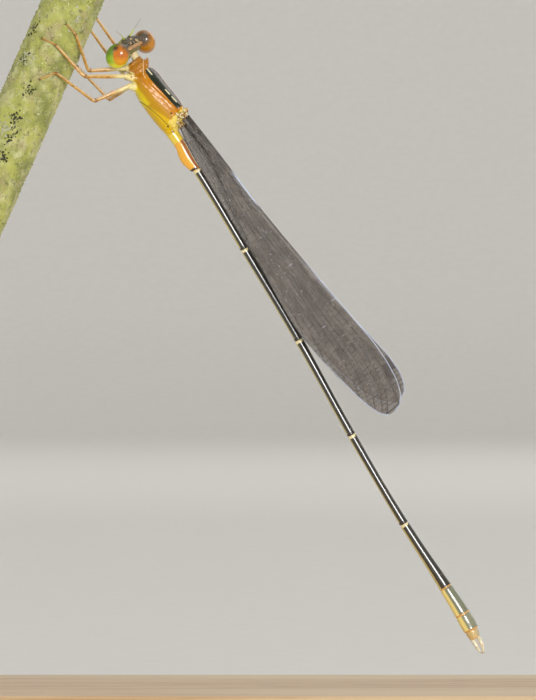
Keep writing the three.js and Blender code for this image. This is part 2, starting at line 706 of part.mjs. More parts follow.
function addStand() {
  const shape = new THREE.Shape();
  const halfLength = BASE_LENGTH / 2 - BASE_BEVEL;
  const halfWidth = BASE_WIDTH / 2 - BASE_BEVEL;
  const corner = BASE_CORNER;
  shape.moveTo(-halfLength + corner, -halfWidth);
  shape.lineTo(halfLength - corner, -halfWidth);
  shape.absarc(halfLength - corner, -halfWidth + corner, corner, -Math.PI / 2, 0);
  shape.absarc(halfLength - corner, halfWidth - corner, corner, 0, Math.PI / 2);
  shape.absarc(-halfLength + corner, halfWidth - corner, corner, Math.PI / 2, Math.PI);
  shape.absarc(-halfLength + corner, -halfWidth + corner, corner, Math.PI, 1.5 * Math.PI);
  const base = new THREE.ExtrudeGeometry(shape, {
    depth: BASE_HEIGHT - 2 * BASE_BEVEL,
    bevelThickness: BASE_BEVEL,
    bevelSize: BASE_BEVEL,
    bevelSegments: 2,
    curveSegments: 5,
  });
  base.translate(0, 0, BASE_BEVEL);
  addNode(part, "stand_base", geometryOf(solid(base)), "wood");
  const axis = stemAxis();
  const rodX = STEM_POINT.x + ((STEM_BOTTOM - STEM_POINT.z) * axis.x) / axis.z;
  const rodBottom = BASE_HEIGHT + GAP;
  const rodTop = STEM_BOTTOM - GAP;
  const post = rod(point(rodX, 0, rodBottom), point(rodX, 0, rodTop), ROD_RADIUS, ROD_RADIUS, 24);
  addNode(part, "stand_rod", post, "steel");
}

const body = makeBodyFrame();
const head = makeHeadFrame(body);
addHead(body, head);
addEyes(head);
addAntennae(head);
addNode(body, "neck", neck(), "cream");
addProthorax(body);
addThorax(body);
addWings(body);
addLegs(body);
addAbdomen();
addClaspers();
addPerch();
addStand();

export default part;
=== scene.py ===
# A life-size museum-type model of a slender damselfly that clings head-up to a short mossy stem.
# Shapes are worked out in millimetres and turned to metres when a piece is made.
import math
import random

import bpy
import numpy as np
from mathutils import Matrix, Vector, noise


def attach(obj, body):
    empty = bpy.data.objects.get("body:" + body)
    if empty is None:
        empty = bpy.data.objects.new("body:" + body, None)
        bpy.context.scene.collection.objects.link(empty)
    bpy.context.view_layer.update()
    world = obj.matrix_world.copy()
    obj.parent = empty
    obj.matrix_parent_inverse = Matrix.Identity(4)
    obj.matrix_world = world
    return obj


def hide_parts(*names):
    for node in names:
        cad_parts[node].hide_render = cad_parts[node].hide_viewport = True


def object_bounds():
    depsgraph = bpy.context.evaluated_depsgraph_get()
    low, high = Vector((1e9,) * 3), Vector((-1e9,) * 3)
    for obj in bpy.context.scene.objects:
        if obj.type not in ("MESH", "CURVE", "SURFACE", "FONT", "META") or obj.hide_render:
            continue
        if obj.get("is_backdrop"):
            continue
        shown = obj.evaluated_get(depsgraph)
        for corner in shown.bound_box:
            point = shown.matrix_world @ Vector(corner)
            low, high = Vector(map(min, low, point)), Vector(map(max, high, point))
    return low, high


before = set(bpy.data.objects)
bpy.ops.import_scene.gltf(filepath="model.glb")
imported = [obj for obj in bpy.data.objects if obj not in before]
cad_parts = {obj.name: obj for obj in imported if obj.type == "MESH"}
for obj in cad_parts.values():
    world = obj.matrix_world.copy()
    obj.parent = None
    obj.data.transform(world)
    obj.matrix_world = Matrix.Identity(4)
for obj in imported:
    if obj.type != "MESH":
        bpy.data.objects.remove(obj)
cad_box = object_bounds()

MM = 0.001

# Thorax: its middle and its tilt from the horizontal. Its frame is x forward, y left, z to the back
THORAX_CENTRE = np.array([-3.64, 0.0, 40.31])
THORAX_TILT = math.radians(53)
THORAX_FRONT = 1.78
THORAX_REAR = -2.02
THORAX_SLANT = 0.26
CARINA_HEIGHT = 0.07
PROTHORAX_FRONT = 2.64
PROTHORAX_REAR = 1.6
PROTHORAX_HALF_WIDTH = 0.62
BODY_VOXEL = 0.03

# Head: its middle in the thorax's frame, and how it is turned, nodded and rolled
HEAD_CENTRE = np.array([3.32, 0.25, 0.51])
HEAD_YAW = -15
HEAD_NOD = 6
HEAD_ROLL = -49.5
HEAD_VOXEL = 0.024
EYE_OFFSET = 1.24
EYE_RADII = np.array([0.73, 0.62, 0.84])
EYE_LEAN = 20
# Middles of the eye's colour patches in the head's frame, for the left eye
CAP_DIRECTION = np.array([-0.43, 0.39, 0.82])
CAP_REACH = 0.74
INNER_DIRECTION = np.array([0.02, -0.67, 0.74])
PATCH_DIRECTION = np.array([0.36, 0.36, 0.86])
ANTENNA_LENGTH = 1.3
FACET_SIZE = 0.05

# Legs: real radii, in the middle of the solids' thicker rods
COXA_RADIUS = 0.29
FEMUR_RADIUS = 0.14
KNEE_RADIUS = 0.11
TIBIA_RADIUS = 0.095
TARSUS_RADIUS = 0.06
SPINE_LENGTH = 0.24

# Perch: a leaning stem, given by a point on its axis and its lean from the vertical
STEM_POINT = np.array([-8.83, 0.0, 46.3])
STEM_LEAN = math.radians(23.7)
STEM_RADIUS = 1.77
STEM_TOP = 50.9
STEM_BOTTOM = 29.0
GRANULES = 5200

# Wings: lengths, distances from the middle plane, and sizes of the veins
FOREWING_LENGTH = 22.2
HINDWING_LENGTH = 21.5
RIM_RADIUS = 0.05
VEIN_RADIUS = 0.03
CROSSVEIN_RADIUS = 0.015
CELL_LENGTH = 0.42
SPECKS = 16
FOLD_HEIGHT = 0.005
FOLD_SPACING = 0.78
WAVE_HEIGHT = 0.05
STIGMA = (0.878, 0.922)
# The dark patch near the tip fades over this range of distances inside its edge, in millimetres
STIGMA_EDGE = (-0.02, 0.02)

# The camera that gives the photograph's framing, in millimetres
CAMERA_PLACE = (3.21, -400.0, 24.69)
CAMERA_LENS = 333.3
CAMERA_SENSOR = 36.0


# Small tools for shapes

def smooth_profile(pairs):
    """A smooth function through a few (position, value) pairs"""
    positions, values = np.array(pairs, float).T
    slopes = np.gradient(values, positions)

    def at(x):
        x = np.clip(x, positions[0], positions[-1])
        i = np.clip(np.searchsorted(positions, x) - 1, 0, len(positions) - 2)
        step = positions[i + 1] - positions[i]
        t = (x - positions[i]) / step
        start = (1 + 2 * t) * (1 - t) ** 2 * values[i] + t * (1 - t) ** 2 * step * slopes[i]
        end = t * t * (3 - 2 * t) * values[i + 1] + t * t * (t - 1) * step * slopes[i + 1]
        return start + end

    return at


def bell(distance, width):
    """1 at a distance of 0, fading smoothly over the given width"""
    return np.exp(-(distance / width) ** 2)


def unit(vectors):
    vectors = np.asarray(vectors, float)
    return vectors / np.linalg.norm(vectors, axis=-1, keepdims=True)


def turn(axis, degrees):
    return np.array(Matrix.Rotation(math.radians(degrees), 3, axis))


def curve_through(points, count):
    """Evenly spaced points on a smooth curve through a few points"""
    points = np.asarray(points, float)
    steps = np.linalg.norm(np.diff(points, axis=0), axis=1)
    lengths = np.concatenate([[0], np.cumsum(steps)])
    at = np.linspace(0, lengths[-1], count)
    columns = [smooth_profile(list(zip(lengths, points[:, i])))(at) for i in range(3)]
    return np.stack(columns, -1)


def loft(rings):
    """A closed shape through rings of equally many points"""
    rings = np.asarray(rings, float)
    rows, columns = rings.shape[:2]
    row = np.arange(rows - 1)[:, None] * columns
    here = np.arange(columns)[None, :]
    after = (here + 1) % columns
    corners = [row + here, row + after, row + columns + after, row + columns + here]
    faces = np.stack(corners, -1).reshape(-1, 4).tolist()
    faces.append(list(range(columns))[::-1])
    faces.append(list(range((rows - 1) * columns, rows * columns)))
    return rings.reshape(-1, 3), faces


def tube(path, radii, sides=10, up=(0.0, 0.0, 1.0)):
    """A round tube along a path, with one radius for each of its points"""
    path = np.asarray(path, float)
    radii = np.broadcast_to(radii, len(path))
    tangents = unit(np.gradient(path, axis=0))
    angle = np.linspace(0, 2 * math.pi, sides, endpoint=False)
    up = np.array(up, float)
    rings = []
    for middle, tangent, radius in zip(path, tangents, radii):
        up = unit(up - tangent * (up @ tangent))
        side = np.cross(tangent, up)
        around = np.outer(np.cos(angle), up) + np.outer(np.sin(angle), side)
        rings.append(middle + radius * around)
    return loft(rings)


def ellipsoid(centre, radii, around=40, along=24, lean=None):
    """An egg shape, turned by the matrix lean before it is put in place"""
    polar = np.linspace(0.03, math.pi - 0.03, along)[:, None]
    azimuth = np.linspace(0, 2 * math.pi, around, endpoint=False)[None, :]
    rings = np.stack([
        np.sin(polar) * np.cos(azimuth),
        np.sin(polar) * np.sin(azimuth),
        np.cos(polar) + 0 * azimuth,
    ], -1) * np.asarray(radii, float)
    if lean is not None:
        rings = rings @ lean.T
    return loft(rings + np.asarray(centre, float))


def merge(shapes):
    """Several shapes as one list of points and one of faces"""
    points = []
    faces = []
    start = 0
    for shape_points, shape_faces in shapes:
        points.append(shape_points)
        faces.extend([[corner + start for corner in face] for face in shape_faces])
        start += len(shape_points)
    return np.concatenate(points), faces


def fuse(shapes, voxel, smoothing):
    """Overlapping shapes as one smooth skin: its points, its faces and the points' normals"""
    points, faces = merge(shapes)
    mesh = bpy.data.meshes.new("fused")
    mesh.from_pydata(points.tolist(), [], faces)
    obj = bpy.data.objects.new("fused", mesh)
    bpy.context.scene.collection.objects.link(obj)
    remesh = obj.modifiers.new("fuse", "REMESH")
    remesh.mode = "VOXEL"
    remesh.voxel_size = voxel
    smooth = obj.modifiers.new("smooth", "SMOOTH")
    smooth.iterations = smoothing
    depsgraph = bpy.context.evaluated_depsgraph_get()
    made = bpy.data.meshes.new_from_object(obj.evaluated_get(depsgraph))
    count = len(made.vertices)
    points = np.empty(count * 3)
    normals = np.empty(count * 3)
    made.vertices.foreach_get("co", points)
    made.vertices.foreach_get("normal", normals)
    faces = [list(polygon.vertices) for polygon in made.polygons]
    bpy.data.objects.remove(obj)
    bpy.data.meshes.remove(made)
    bpy.data.meshes.remove(mesh)
    return points.reshape(-1, 3), faces, normals.reshape(-1, 3)


def lumps(points, size, seed=0.0):
    """Smooth noise from about -1 to 1, with lumps of the given size in millimetres"""
    return np.array([noise.noise(Vector(p) / size + Vector((seed, seed, seed))) for p in points])


def make_piece(name, shape, material, replaced=(), attributes=None):
    """One smooth piece of the model, with the values that its material reads at each point"""
    points, faces = shape
    mesh = bpy.data.meshes.new(name)
    mesh.from_pydata((points * MM).tolist(), [], faces)
    for key, values in (attributes or {}).items():
        attribute = mesh.attributes.new(key, "FLOAT", "POINT")
        attribute.data.foreach_set("value", np.asarray(values, float))
    mesh.materials.append(material)
    mesh.shade_smooth()
    obj = bpy.data.objects.new(name, mesh)
    bpy.context.scene.collection.objects.link(obj)
    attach(obj, "root")
    if replaced:
        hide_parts(*replaced)


# Frames of the thorax and the head, whose points are turned to and from the model's frame

BODY_AXES = np.array([
    [-math.cos(THORAX_TILT), 0, math.sin(THORAX_TILT)],
    [0, -1, 0],
    [math.sin(THORAX_TILT), 0, math.cos(THORAX_TILT)],
])
HEAD_AXES = turn("Z", HEAD_YAW) @ turn("Y", HEAD_NOD) @ turn("X", HEAD_ROLL)


def from_body(points):
    return THORAX_CENTRE + np.asarray(points, float) @ BODY_AXES


def to_body(points):
    return (np.asarray(points, float) - THORAX_CENTRE) @ BODY_AXES.T


def from_head(points):
    return from_body(HEAD_CENTRE + np.asarray(points, float) @ HEAD_AXES.T)


def line_distance(x, z, corners):
    """Distance in millimetres from points in a side view to a line through a few corners"""
    nearest = np.full(np.shape(x), np.inf)
    for (x0, z0), (x1, z1) in zip(corners, corners[1:]):
        length = (x1 - x0) ** 2 + (z1 - z0) ** 2
        t = np.clip(((x - x0) * (x1 - x0) + (z - z0) * (z1 - z0)) / length, 0, 1)
        nearest = np.minimum(nearest, np.hypot(x - x0 - t * (x1 - x0), z - z0 - t * (z1 - z0)))
    return nearest


# Small tools for materials

def linear(shade):
    """An sRGB hex colour as linear values"""
    channels = [int(shade[i:i + 2], 16) / 255 for i in (1, 3, 5)]
    values = [c / 12.92 if c <= 0.04045 else ((c + 0.055) / 1.055) ** 2.4 for c in channels]
    return tuple(values) + (1.0,)


def add(tree, kind, settings=None, inputs=None):
    """Adds a node with its settings, and with a value or a link for each named input"""
    node = tree.nodes.new(kind)
    for key, value in (settings or {}).items():
        setattr(node, key, value)
    for key, value in (inputs or {}).items():
        if isinstance(value, bpy.types.NodeSocket):
            tree.links.new(value, node.inputs[key])
        else:
            node.inputs[key].default_value = value
    return node


def start_material(name, **settings):
    """A material with one surface shader, whose steady values are set on its own sockets"""
    material = bpy.data.materials.new(name)
    material.use_nodes = True
    tree = material.node_tree
    tree.nodes.clear()
    inputs = {key.replace("_", " "): value for key, value in settings.items()}
    surface = add(tree, "ShaderNodeBsdfPrincipled", inputs=inputs)
    add(tree, "ShaderNodeOutputMaterial", inputs={"Surface": surface.outputs[0]})
    return material, tree, surface


def patches(tree, size, detail=2.0, stretch=(1, 1, 1)):
    """Soft random patches from 0 to 1, of a size given in millimetres"""
    place = add(tree, "ShaderNodeTexCoord").outputs["Object"]
    if stretch != (1, 1, 1):
        settings = {"operation": "MULTIPLY"}
        place = add(tree, "ShaderNodeVectorMath", settings, {0: place, 1: stretch}).outputs[0]
    inputs = {"Vector": place, "Scale": 1 / (size * MM), "Detail": detail}
    return add(tree, "ShaderNodeTexNoise", inputs=inputs).outputs["Fac"]


def rising(tree, where, low, high):
    """0 where a pattern or a value stored on the mesh is below low, 1 above high, smooth between"""
    if isinstance(where, str):
        where = add(tree, "ShaderNodeAttribute", {"attribute_name": where}).outputs["Fac"]
    settings = {"interpolation_type": "SMOOTHSTEP"}
    inputs = {"Value": where, "From Min": low, "From Max": high}
    return add(tree, "ShaderNodeMapRange", settings, inputs).outputs[0]


def painted(tree, under, over, where, low, high, within=1.0):
    """One colour painted over another where a pattern or stored value rises from low to high. The
    paint is thinned by a share, or kept within another (value, low, high)."""
    mask = rising(tree, where, low, high)
    if within != 1.0:
        limit = rising(tree, *within) if isinstance(within, tuple) else within
        inputs = {0: mask, 1: limit}
        mask = add(tree, "ShaderNodeMath", {"operation": "MULTIPLY"}, inputs).outputs[0]
    inputs = {"Factor": mask}
    for socket, shade in ((6, under), (7, over)):
        inputs[socket] = linear(shade) if isinstance(shade, str) else shade
    return add(tree, "ShaderNodeMix", {"data_type": "RGBA"}, inputs).outputs[2]


def dress(tree, surface, colour, rough=None, relief=None):
    """Gives a surface its colour, its roughness as (pattern, low, high), and its fine relief as
    (pattern, depth in millimetres)"""
    tree.links.new(colour, surface.inputs["Base Color"])
    if rough:
        pattern, low, high = rough
        inputs = {"Value": pattern, "To Min": low, "To Max": high}
        varied = add(tree, "ShaderNodeMapRange", inputs=inputs)
        tree.links.new(varied.outputs[0], surface.inputs["Roughness"])
    if relief:
        pattern, depth = relief
        bump = add(tree, "ShaderNodeBump", inputs={"Height": pattern, "Distance": depth * MM})
        tree.links.new(bump.outputs[0], surface.inputs["Normal"])


def with_markings(tree, colour, markings, wander_size=0.16):
    """Markings laid over a colour. Each has the attribute that holds how far inside its edge a
    point is, its shade, the softness of its edge and how far the edge wanders, in millimetres."""
    wander = patches(tree, wander_size)
    for attribute, shade, softness, wobble in markings:
        settings = {"operation": "MULTIPLY_ADD"}
        depth = add(tree, "ShaderNodeAttribute", {"attribute_name": attribute}).outputs["Fac"]
        inputs = {0: wander, 1: 2 * wobble, 2: depth}
        inside = add(tree, "ShaderNodeMath", settings, inputs).outputs[0]
        colour = painted(tree, colour, shade, inside, wobble - softness, wobble + softness)
    return colour


# Materials

def thorax_material():
    # Lacquered cuticle of the thorax, cast and hand painted: glassy over clear orange and yellow
    # paint, with soft mottling of the paint and a fine orange-peel in the lacquer, and with broken
    # pinkish lines and short cream streaks of painted highlight on its side
    material, tree, surface = start_material(
        "painted_cuticle_thorax", IOR=1.4, Coat_Weight=0.4, Coat_Roughness=0.08, Coat_IOR=1.4)
    mottle = patches(tree, 0.9)
    colour = painted(tree, "#b57000", "#c68000", mottle, 0.3, 0.7)
    markings = [
        ("golden", "#bd8b00", 0.3, 0.05),
        ("flank", "#dcb200", 0.09, 0.03),
        ("belly", "#e6cc14", 0.14, 0.06),
        ("suture", "#857409", 0.016, 0.006),
        # Painted highlight: broken pinkish lines along the side
        ("thorax_highlight", "#eeb98a", 0.035, 0.03),
        ("front", "#b0710f", 0.08, 0.06),
        ("coxa", "#e9dc98", 0.07, 0.04),
        ("collar", "#dfc08e", 0.02, 0.014),
        ("neck", "#e3d2a0", 0.05, 0.02),
        ("hinge", "#e9cf62", 0.06, 0.12),
        ("band", "#1b220e", 0.02, 0.012),
        # Painted highlight: short cream streaks on the upper side
        ("highlight_streak", "#ebe3b6", 0.022, 0.012),
        ("keel", "#80502a", 0.03, 0.02),
        ("spot", "#a85a10", 0.03, 0.01),
        ("pit", "#1c1206", 0.02, 0.006),
    ]
    colour = with_markings(tree, colour, markings)
    blush = patches(tree, 0.14, 3)
    colour = painted(tree, colour, "#dba07c", blush, 0.6, 0.72, within=("front", -0.02, 0.06))
    dress(tree, surface, colour,
          rough=(patches(tree, 0.2), 0.26, 0.42),
          relief=(patches(tree, 0.07, 3), 0.008))
    return material


def abdomen_material():
    # Enamelled cuticle of the abdomen: near-black over yellow, polished, so that light runs along
    # each segment as one thin line. On the second segment a pale line is painted in as a painted
    # highlight
    material, tree, surface = start_material(
        "enamelled_cuticle_abdomen", IOR=1.56, Coat_Weight=1.0, Coat_Roughness=0.08, Coat_IOR=1.55)
    below = ["#e6c430", "#efac1e", "#cdbb6a", "#c9ba74", "#c9ba74", "#c9ba74", "#d2bf78",
             "#ecd784", "#ecd784", "#d0b478"]
    above = ["#c98a24", "#a86526", "#2a2217", "#241f17", "#241f17", "#241f17", "#27251b",
             "#777a62", "#87886e", "#c4b084"]
    colour = painted(tree, by_segment(tree, below), by_segment(tree, above), "above", -0.025, 0.025)
    colour = with_markings(tree, colour, [
        ("dorsum", "#3a2412", 0.04, 0.02),
        ("foot", "#1a140c", 0.03, 0.02),
        ("ring", "#ecdca6", 0.03, 0.02),
        ("rim", "#dfa350", 0.03, 0.02),
        # Painted highlight: a pale line along the second segment
        ("line", "#efe9d2", 0.014, 0.006),
    ])
    colour = painted(tree, colour, "#8f8468", patches(tree, 0.3, 4), 0.58, 0.8, within=WORN_SHARE)
    dress(tree, surface, colour,
          rough=(patches(tree, 0.25), 0.22, 0.38),
          relief=(patches(tree, 0.05, 3), 0.004))
    return material


def by_segment(tree, shades):
    """A flat shade for each of the ten segments of the abdomen"""
    number = add(tree, "ShaderNodeAttribute", {"attribute_name": "segment"}).outputs["Fac"]
    tenth = add(tree, "ShaderNodeMath", {"operation": "MULTIPLY"}, {0: number, 1: 0.1})
    ramp = add(tree, "ShaderNodeValToRGB", inputs={"Fac": tenth.outputs[0]})
    ramp.color_ramp.interpolation = "CONSTANT"
    elements = ramp.color_ramp.elements
    while len(elements) < len(shades):
        elements.new(1.0)
    for i, shade in enumerate(shades):
        elements[i].position = i / len(shades)
        elements[i].color = linear(shade)
    return ramp.outputs["Color"]


def head_material():
    # Cast resin of the head capsule, stippled by brush: grey-black top with cream flecks, greenish
    # face, a dull glaze over all
    material, tree, surface = start_material(
        "stippled_resin_head", IOR=1.5, Coat_Weight=0.35, Coat_Roughness=0.2, Coat_IOR=1.5)
    mottle = patches(tree, 0.12, 3)
    colour = painted(tree, "#352e22", "#75664c", mottle, 0.42, 0.7)
    colour = with_markings(tree, colour, [
        ("face", "#a9b53a", 0.05, 0.04),
        ("lip", "#cfc56a", 0.03, 0.02),
        ("seam", "#3a3616", 0.02, 0.006),
        ("ridge", "#b98a5c", 0.05, 0.05),
        ("fleck", "#d8c494", 0.02, 0.02),
        ("rear", "#7d7440", 0.08, 0.06),
    ], 0.09)
    dress(tree, surface, colour,
          rough=(patches(tree, 0.1), 0.32, 0.5),
          relief=(patches(tree, 0.05, 4), 0.012))
    return material


def eye_material():
    # Compound eye in clear-coated glass enamel: facets of a real 0.025 mm are drawn at 0.05 mm so
    # that they show, under a smooth coat that keeps one round highlight
    material, tree, surface = start_material(
        "faceted_enamel_eye", IOR=1.33, Roughness=0.32, Coat_Weight=1.0, Coat_Roughness=0.02,
        Coat_IOR=1.5)
    mottle = patches(tree, 0.3)
    colour = painted(tree, "#587f1c", "#71962a", mottle, 0.35, 0.65)
    colour = painted(tree, colour, "#93b928", "low", -0.3, 0.25)
    colour = painted(tree, colour, "#e2de28", "low", 0.4, 0.8)
    colour = with_markings(tree, colour, [
        ("amber", "#bd7c10", 0.12, 0.08),
        ("cap", "#c97200", 0.05, 0.02),
        ("crown", "#b95f00", 0.22, 0.05),
        ("bright", "#e09a0c", 0.2, 0.06),
        ("inner", "#80582a", 0.16, 0.1),
        ("dusk", "#54473a", 0.12, 0.1),
    ])
    # Painted sparkle: grey-lavender glints on the dark inner patch of the eye
    painted_sparkles = patches(tree, 0.1, 3)
    colour = painted(tree, colour, "#8f8a94", painted_sparkles, 0.56, 0.68, within=("dusk", 0.0, 0.1))
    colour = painted(tree, colour, "#33291a", "dark", -0.1, 0.24)
    place = add(tree, "ShaderNodeTexCoord").outputs["Object"]
    inputs = {"Vector": place, "Scale": 1 / (FACET_SIZE * MM)}
    facets = add(tree, "ShaderNodeTexVoronoi", inputs=inputs)
    dress(tree, surface, colour, relief=(facets.outputs["Distance"], 0.004))
    return material


def ocellus_material():
    # Simple eye: a bead of clear cast resin over tan and brown paint, with a glassy highlight
    material, tree, surface = start_material(
        "cast_resin_ocellus", IOR=1.5, Roughness=0.1, Coat_Weight=1.0, Coat_Roughness=0.02)
    colour = painted(tree, "#c9a27c", "#8a5a34", patches(tree, 0.08), 0.45, 0.7)
    dress(tree, surface, colour, relief=(patches(tree, 0.05), 0.002))
    return material


def antenna_material():
    # Painted wire of the feelers: yellow-green at the root, grey-brown beyond
    material, tree, surface = start_material("painted_wire_feeler", IOR=1.5, Coat_Weight=0.2)
    colour = painted(tree, "#c3d04a", "#938c68", "along", 0.3, 0.5)
    colour = painted(tree, colour, "#6a6244", patches(tree, 0.1), 0.6, 0.75)
    dress(tree, surface, colour,
          rough=(patches(tree, 0.1), 0.35, 0.5),
          relief=(patches(tree, 0.04), 0.004))
    return material


def leg_material():
    # Waxed cuticle of the legs: translucent tan with pale tops, darker at the joints, and with a
    # painted highlight stripe along one side of the femur and the tibia
    material, tree, surface = start_material(
        "waxed_cuticle_leg", IOR=1.5, Coat_Weight=0.6, Coat_Roughness=0.15, Coat_IOR=1.5,
        Subsurface_Weight=0.15, Subsurface_Scale=0.1 * MM)
    mottle = patches(tree, 0.25, 3)
    colour = painted(tree, "#b07c26", "#cf9f4a", mottle, 0.35, 0.65)
    colour = with_markings(tree, colour, [
        ("pale", "#e6d592", 0.4, 0.1),
        # Painted highlight: a pale stripe along one side of the femur and the tibia
        ("leg_highlight", "#ecd0a8", 0.03, 0.02),
        ("joint", "#8a5a1c", 0.06, 0.03),
        ("claw", "#5a3410", 0.05, 0.01),
    ])
    dress(tree, surface, colour,
          rough=(patches(tree, 0.12), 0.3, 0.45),
          relief=(patches(tree, 0.05, 3), 0.005))
    return material


def bristle_material():
    # Bristles of drawn nylon, brown at the root and paler to the tip
    material, tree, surface = start_material("drawn_nylon_bristle", IOR=1.53, Roughness=0.4)
    colour = painted(tree, "#8a6a3e", "#d8c6a0", "along", 0.1, 0.8)
    colour = painted(tree, colour, "#6d5028", patches(tree, 0.2), 0.62, 0.75)
    dress(tree, surface, colour)
    return material


def clasper_material():
    # Claspers of waxed cuticle: whitish tan, browner at their tips
    material, tree, surface = start_material(
        "waxed_cuticle_clasper", IOR=1.5, Coat_Weight=0.5, Coat_Roughness=0.15,
        Subsurface_Weight=0.2, Subsurface_Scale=0.1 * MM)
    colour = painted(tree, "#e4dfc4", "#c8b184", patches(tree, 0.15), 0.48, 0.7)
    colour = painted(tree, colour, "#a98a58", "along", 0.85, 1.02)
    dress(tree, surface, colour,
          rough=(patches(tree, 0.1), 0.3, 0.45),
          relief=(patches(tree, 0.04), 0.004))
    return material


def membrane_material():
    # Wing membrane of smoked cast film: see-through grey-brown and a little wavy, with fine pale
    # streaks along the wing and a dark, dense patch near its tip
    material, tree, surface = start_material(
        "smoked_film_membrane", IOR=1.5, Roughness=0.5, Coat_Weight=0.1, Coat_Roughness=0.3)
    mottle = patches(tree, 0.7, 3)
    colour = painted(tree, "#564c43", "#6f645a", mottle, 0.3, 0.7)
    colour = painted(tree, colour, "#8d857c", film_streaks(tree), 0.56, 0.74)
    colour = painted(tree, colour, "#a9a5a0", patches(tree, 0.09), 0.7, 0.8)
    colour = painted(tree, colour, "#2e2018", "stigma", *STIGMA_EDGE)
    dress(tree, surface, colour, relief=(patches(tree, 0.3, 3), 0.012))
    inputs = {"Value": mottle, "From Min": 0.3, "From Max": 0.7, "To Min": 0.56, "To Max": 0.68}
    film = add(tree, "ShaderNodeMapRange", inputs=inputs)
    density = add(tree, "ShaderNodeMath", {"operation": "MAXIMUM"},
                  {0: film.outputs[0], 1: rising(tree, "stigma", *STIGMA_EDGE)})
    tree.links.new(density.outputs[0], surface.inputs["Alpha"])
    return material


def film_streaks(tree):
    """Streaks 0.1 mm wide that run along the wing, twenty times as long as they are wide"""
    run = add(tree, "ShaderNodeAttribute", {"attribute_name": "run"}).outputs["Fac"]
    behind = add(tree, "ShaderNodeAttribute", {"attribute_name": "behind"}).outputs["Fac"]
    drawn_out = add(tree, "ShaderNodeMath", {"operation": "MULTIPLY"}, {0: run, 1: 0.05}).outputs[0]
    place = add(tree, "ShaderNodeCombineXYZ", inputs={"X": drawn_out, "Y": behind}).outputs[0]
    inputs = {"Vector": place, "Scale": 1 / 0.1, "Detail": 3.0}
    return add(tree, "ShaderNodeTexNoise", inputs=inputs).outputs["Fac"]


def vein_material():
    # Wing veins of lacquered wire: dark brown, with a painted bluish-white highlight along parts of
    # the wing's edges, on a few cross veins and on small specks
    material, tree, surface = start_material(
        "lacquered_wire_vein", IOR=1.5, Coat_Weight=0.6, Coat_Roughness=0.15)
    colour = painted(tree, "#2c241e", "#4c4139", patches(tree, 0.5), 0.4, 0.7)
    colour = painted(tree, colour, "#8d857c", patches(tree, 0.2, 3), 0.6, 0.7)
    # Painted highlight: bluish-white where the rim value is high
    colour = painted(tree, colour, "#b2bad0", "rim", 0.3, 0.8)
    dress(tree, surface, colour,
          rough=(patches(tree, 0.15), 0.3, 0.5),
          relief=(patches(tree, 0.1), 0.006))
    return material


def hinge_material():
    # Small plates of the wing hinges, in painted resin: cream, yellow and brown side by side
    material, tree, surface = start_material(
        "painted_resin_hinge", IOR=1.5, Coat_Weight=0.7, Coat_Roughness=0.1)
    colour = painted(tree, "#e8dcae", "#cfa02c", "tint", 0.3, 0.42)
    colour = painted(tree, colour, "#8a5a1c", "tint", 0.55, 0.68)
    colour = painted(tree, colour, "#3d2610", patches(tree, 0.09), 0.56, 0.66)
    dress(tree, surface, colour,
          rough=(patches(tree, 0.1), 0.25, 0.4),
          relief=(patches(tree, 0.05), 0.006))
    return material


def crust_colour(tree):
    """Yellow-green crust with olive, tan and cream patches, for the stem and its crumbs"""
    colour = painted(tree, "#b1b25c", "#868b48", patches(tree, 1.7, 6), 0.4, 0.66)
    colour = painted(tree, colour, "#cbc892", patches(tree, 0.6, 8), 0.44, 0.72)
    colour = painted(tree, colour, "#aa9c72", patches(tree, 1.1, 8), 0.5, 0.76)
    colour = painted(tree, colour, "#676b34", patches(tree, 0.3, 6), 0.5, 0.78)
    return painted(tree, colour, "#e0dbb4", patches(tree, 0.13, 4), 0.64, 0.72)


def stem_material():
    # Green stem with a dry crust of algae: matt, dusty yellow-green with olive and tan patches
    material, tree, surface = start_material("dusted_bark_stem", IOR=1.45, Sheen_Weight=0.15)
    colour = crust_colour(tree)
    colour = painted(tree, colour, "#b7a676", "cut", 0.3, 0.7)
    colour = painted(tree, colour, "#8b774a", "pith", 0.4, 0.6)
    dress(tree, surface, colour,
          rough=(patches(tree, 0.3), 0.75, 0.95),
          relief=(patches(tree, 0.09, 4), 0.03))
    return material


def granule_material():
    # Crumbs of algae and moss, like flocked paint: the stem's own colours, a few of them paler
    material, tree, surface = start_material("flocked_crumb_moss", IOR=1.45, Sheen_Weight=0.3)
    colour = painted(tree, crust_colour(tree), "#b9bb6a", "tint", 0.55, 0.75)
    colour = painted(tree, colour, "#ded9ac", "tint", 0.9, 0.98)
    dress(tree, surface, colour,
          rough=(patches(tree, 0.1), 0.7, 0.95),
          relief=(patches(tree, 0.05, 3), 0.02))
    return material


def lichen_material():
    # Lichen flakes in chalky plaster: grey-green, with paler flecks
    material, tree, surface = start_material("chalky_plaster_lichen", IOR=1.45)
    colour = painted(tree, "#b3b394", "#989c68", patches(tree, 0.3, 3), 0.45, 0.65)
    colour = painted(tree, colour, "#d6d3b8", patches(tree, 0.1, 3), 0.58, 0.72)
    dress(tree, surface, colour,
          rough=(patches(tree, 0.1), 0.8, 0.95),
          relief=(patches(tree, 0.07, 3), 0.03))
    return material


def speck_material():
    # Black specks of fungus on the stem, in matt paint
    material, tree, surface = start_material("matt_paint_speck", IOR=1.45, Roughness=0.7)
    colour = painted(tree, "#2b2b1c", "#4a4930", patches(tree, 0.06), 0.45, 0.65)
    dress(tree, surface, colour, relief=(patches(tree, 0.04), 0.01))
    return material


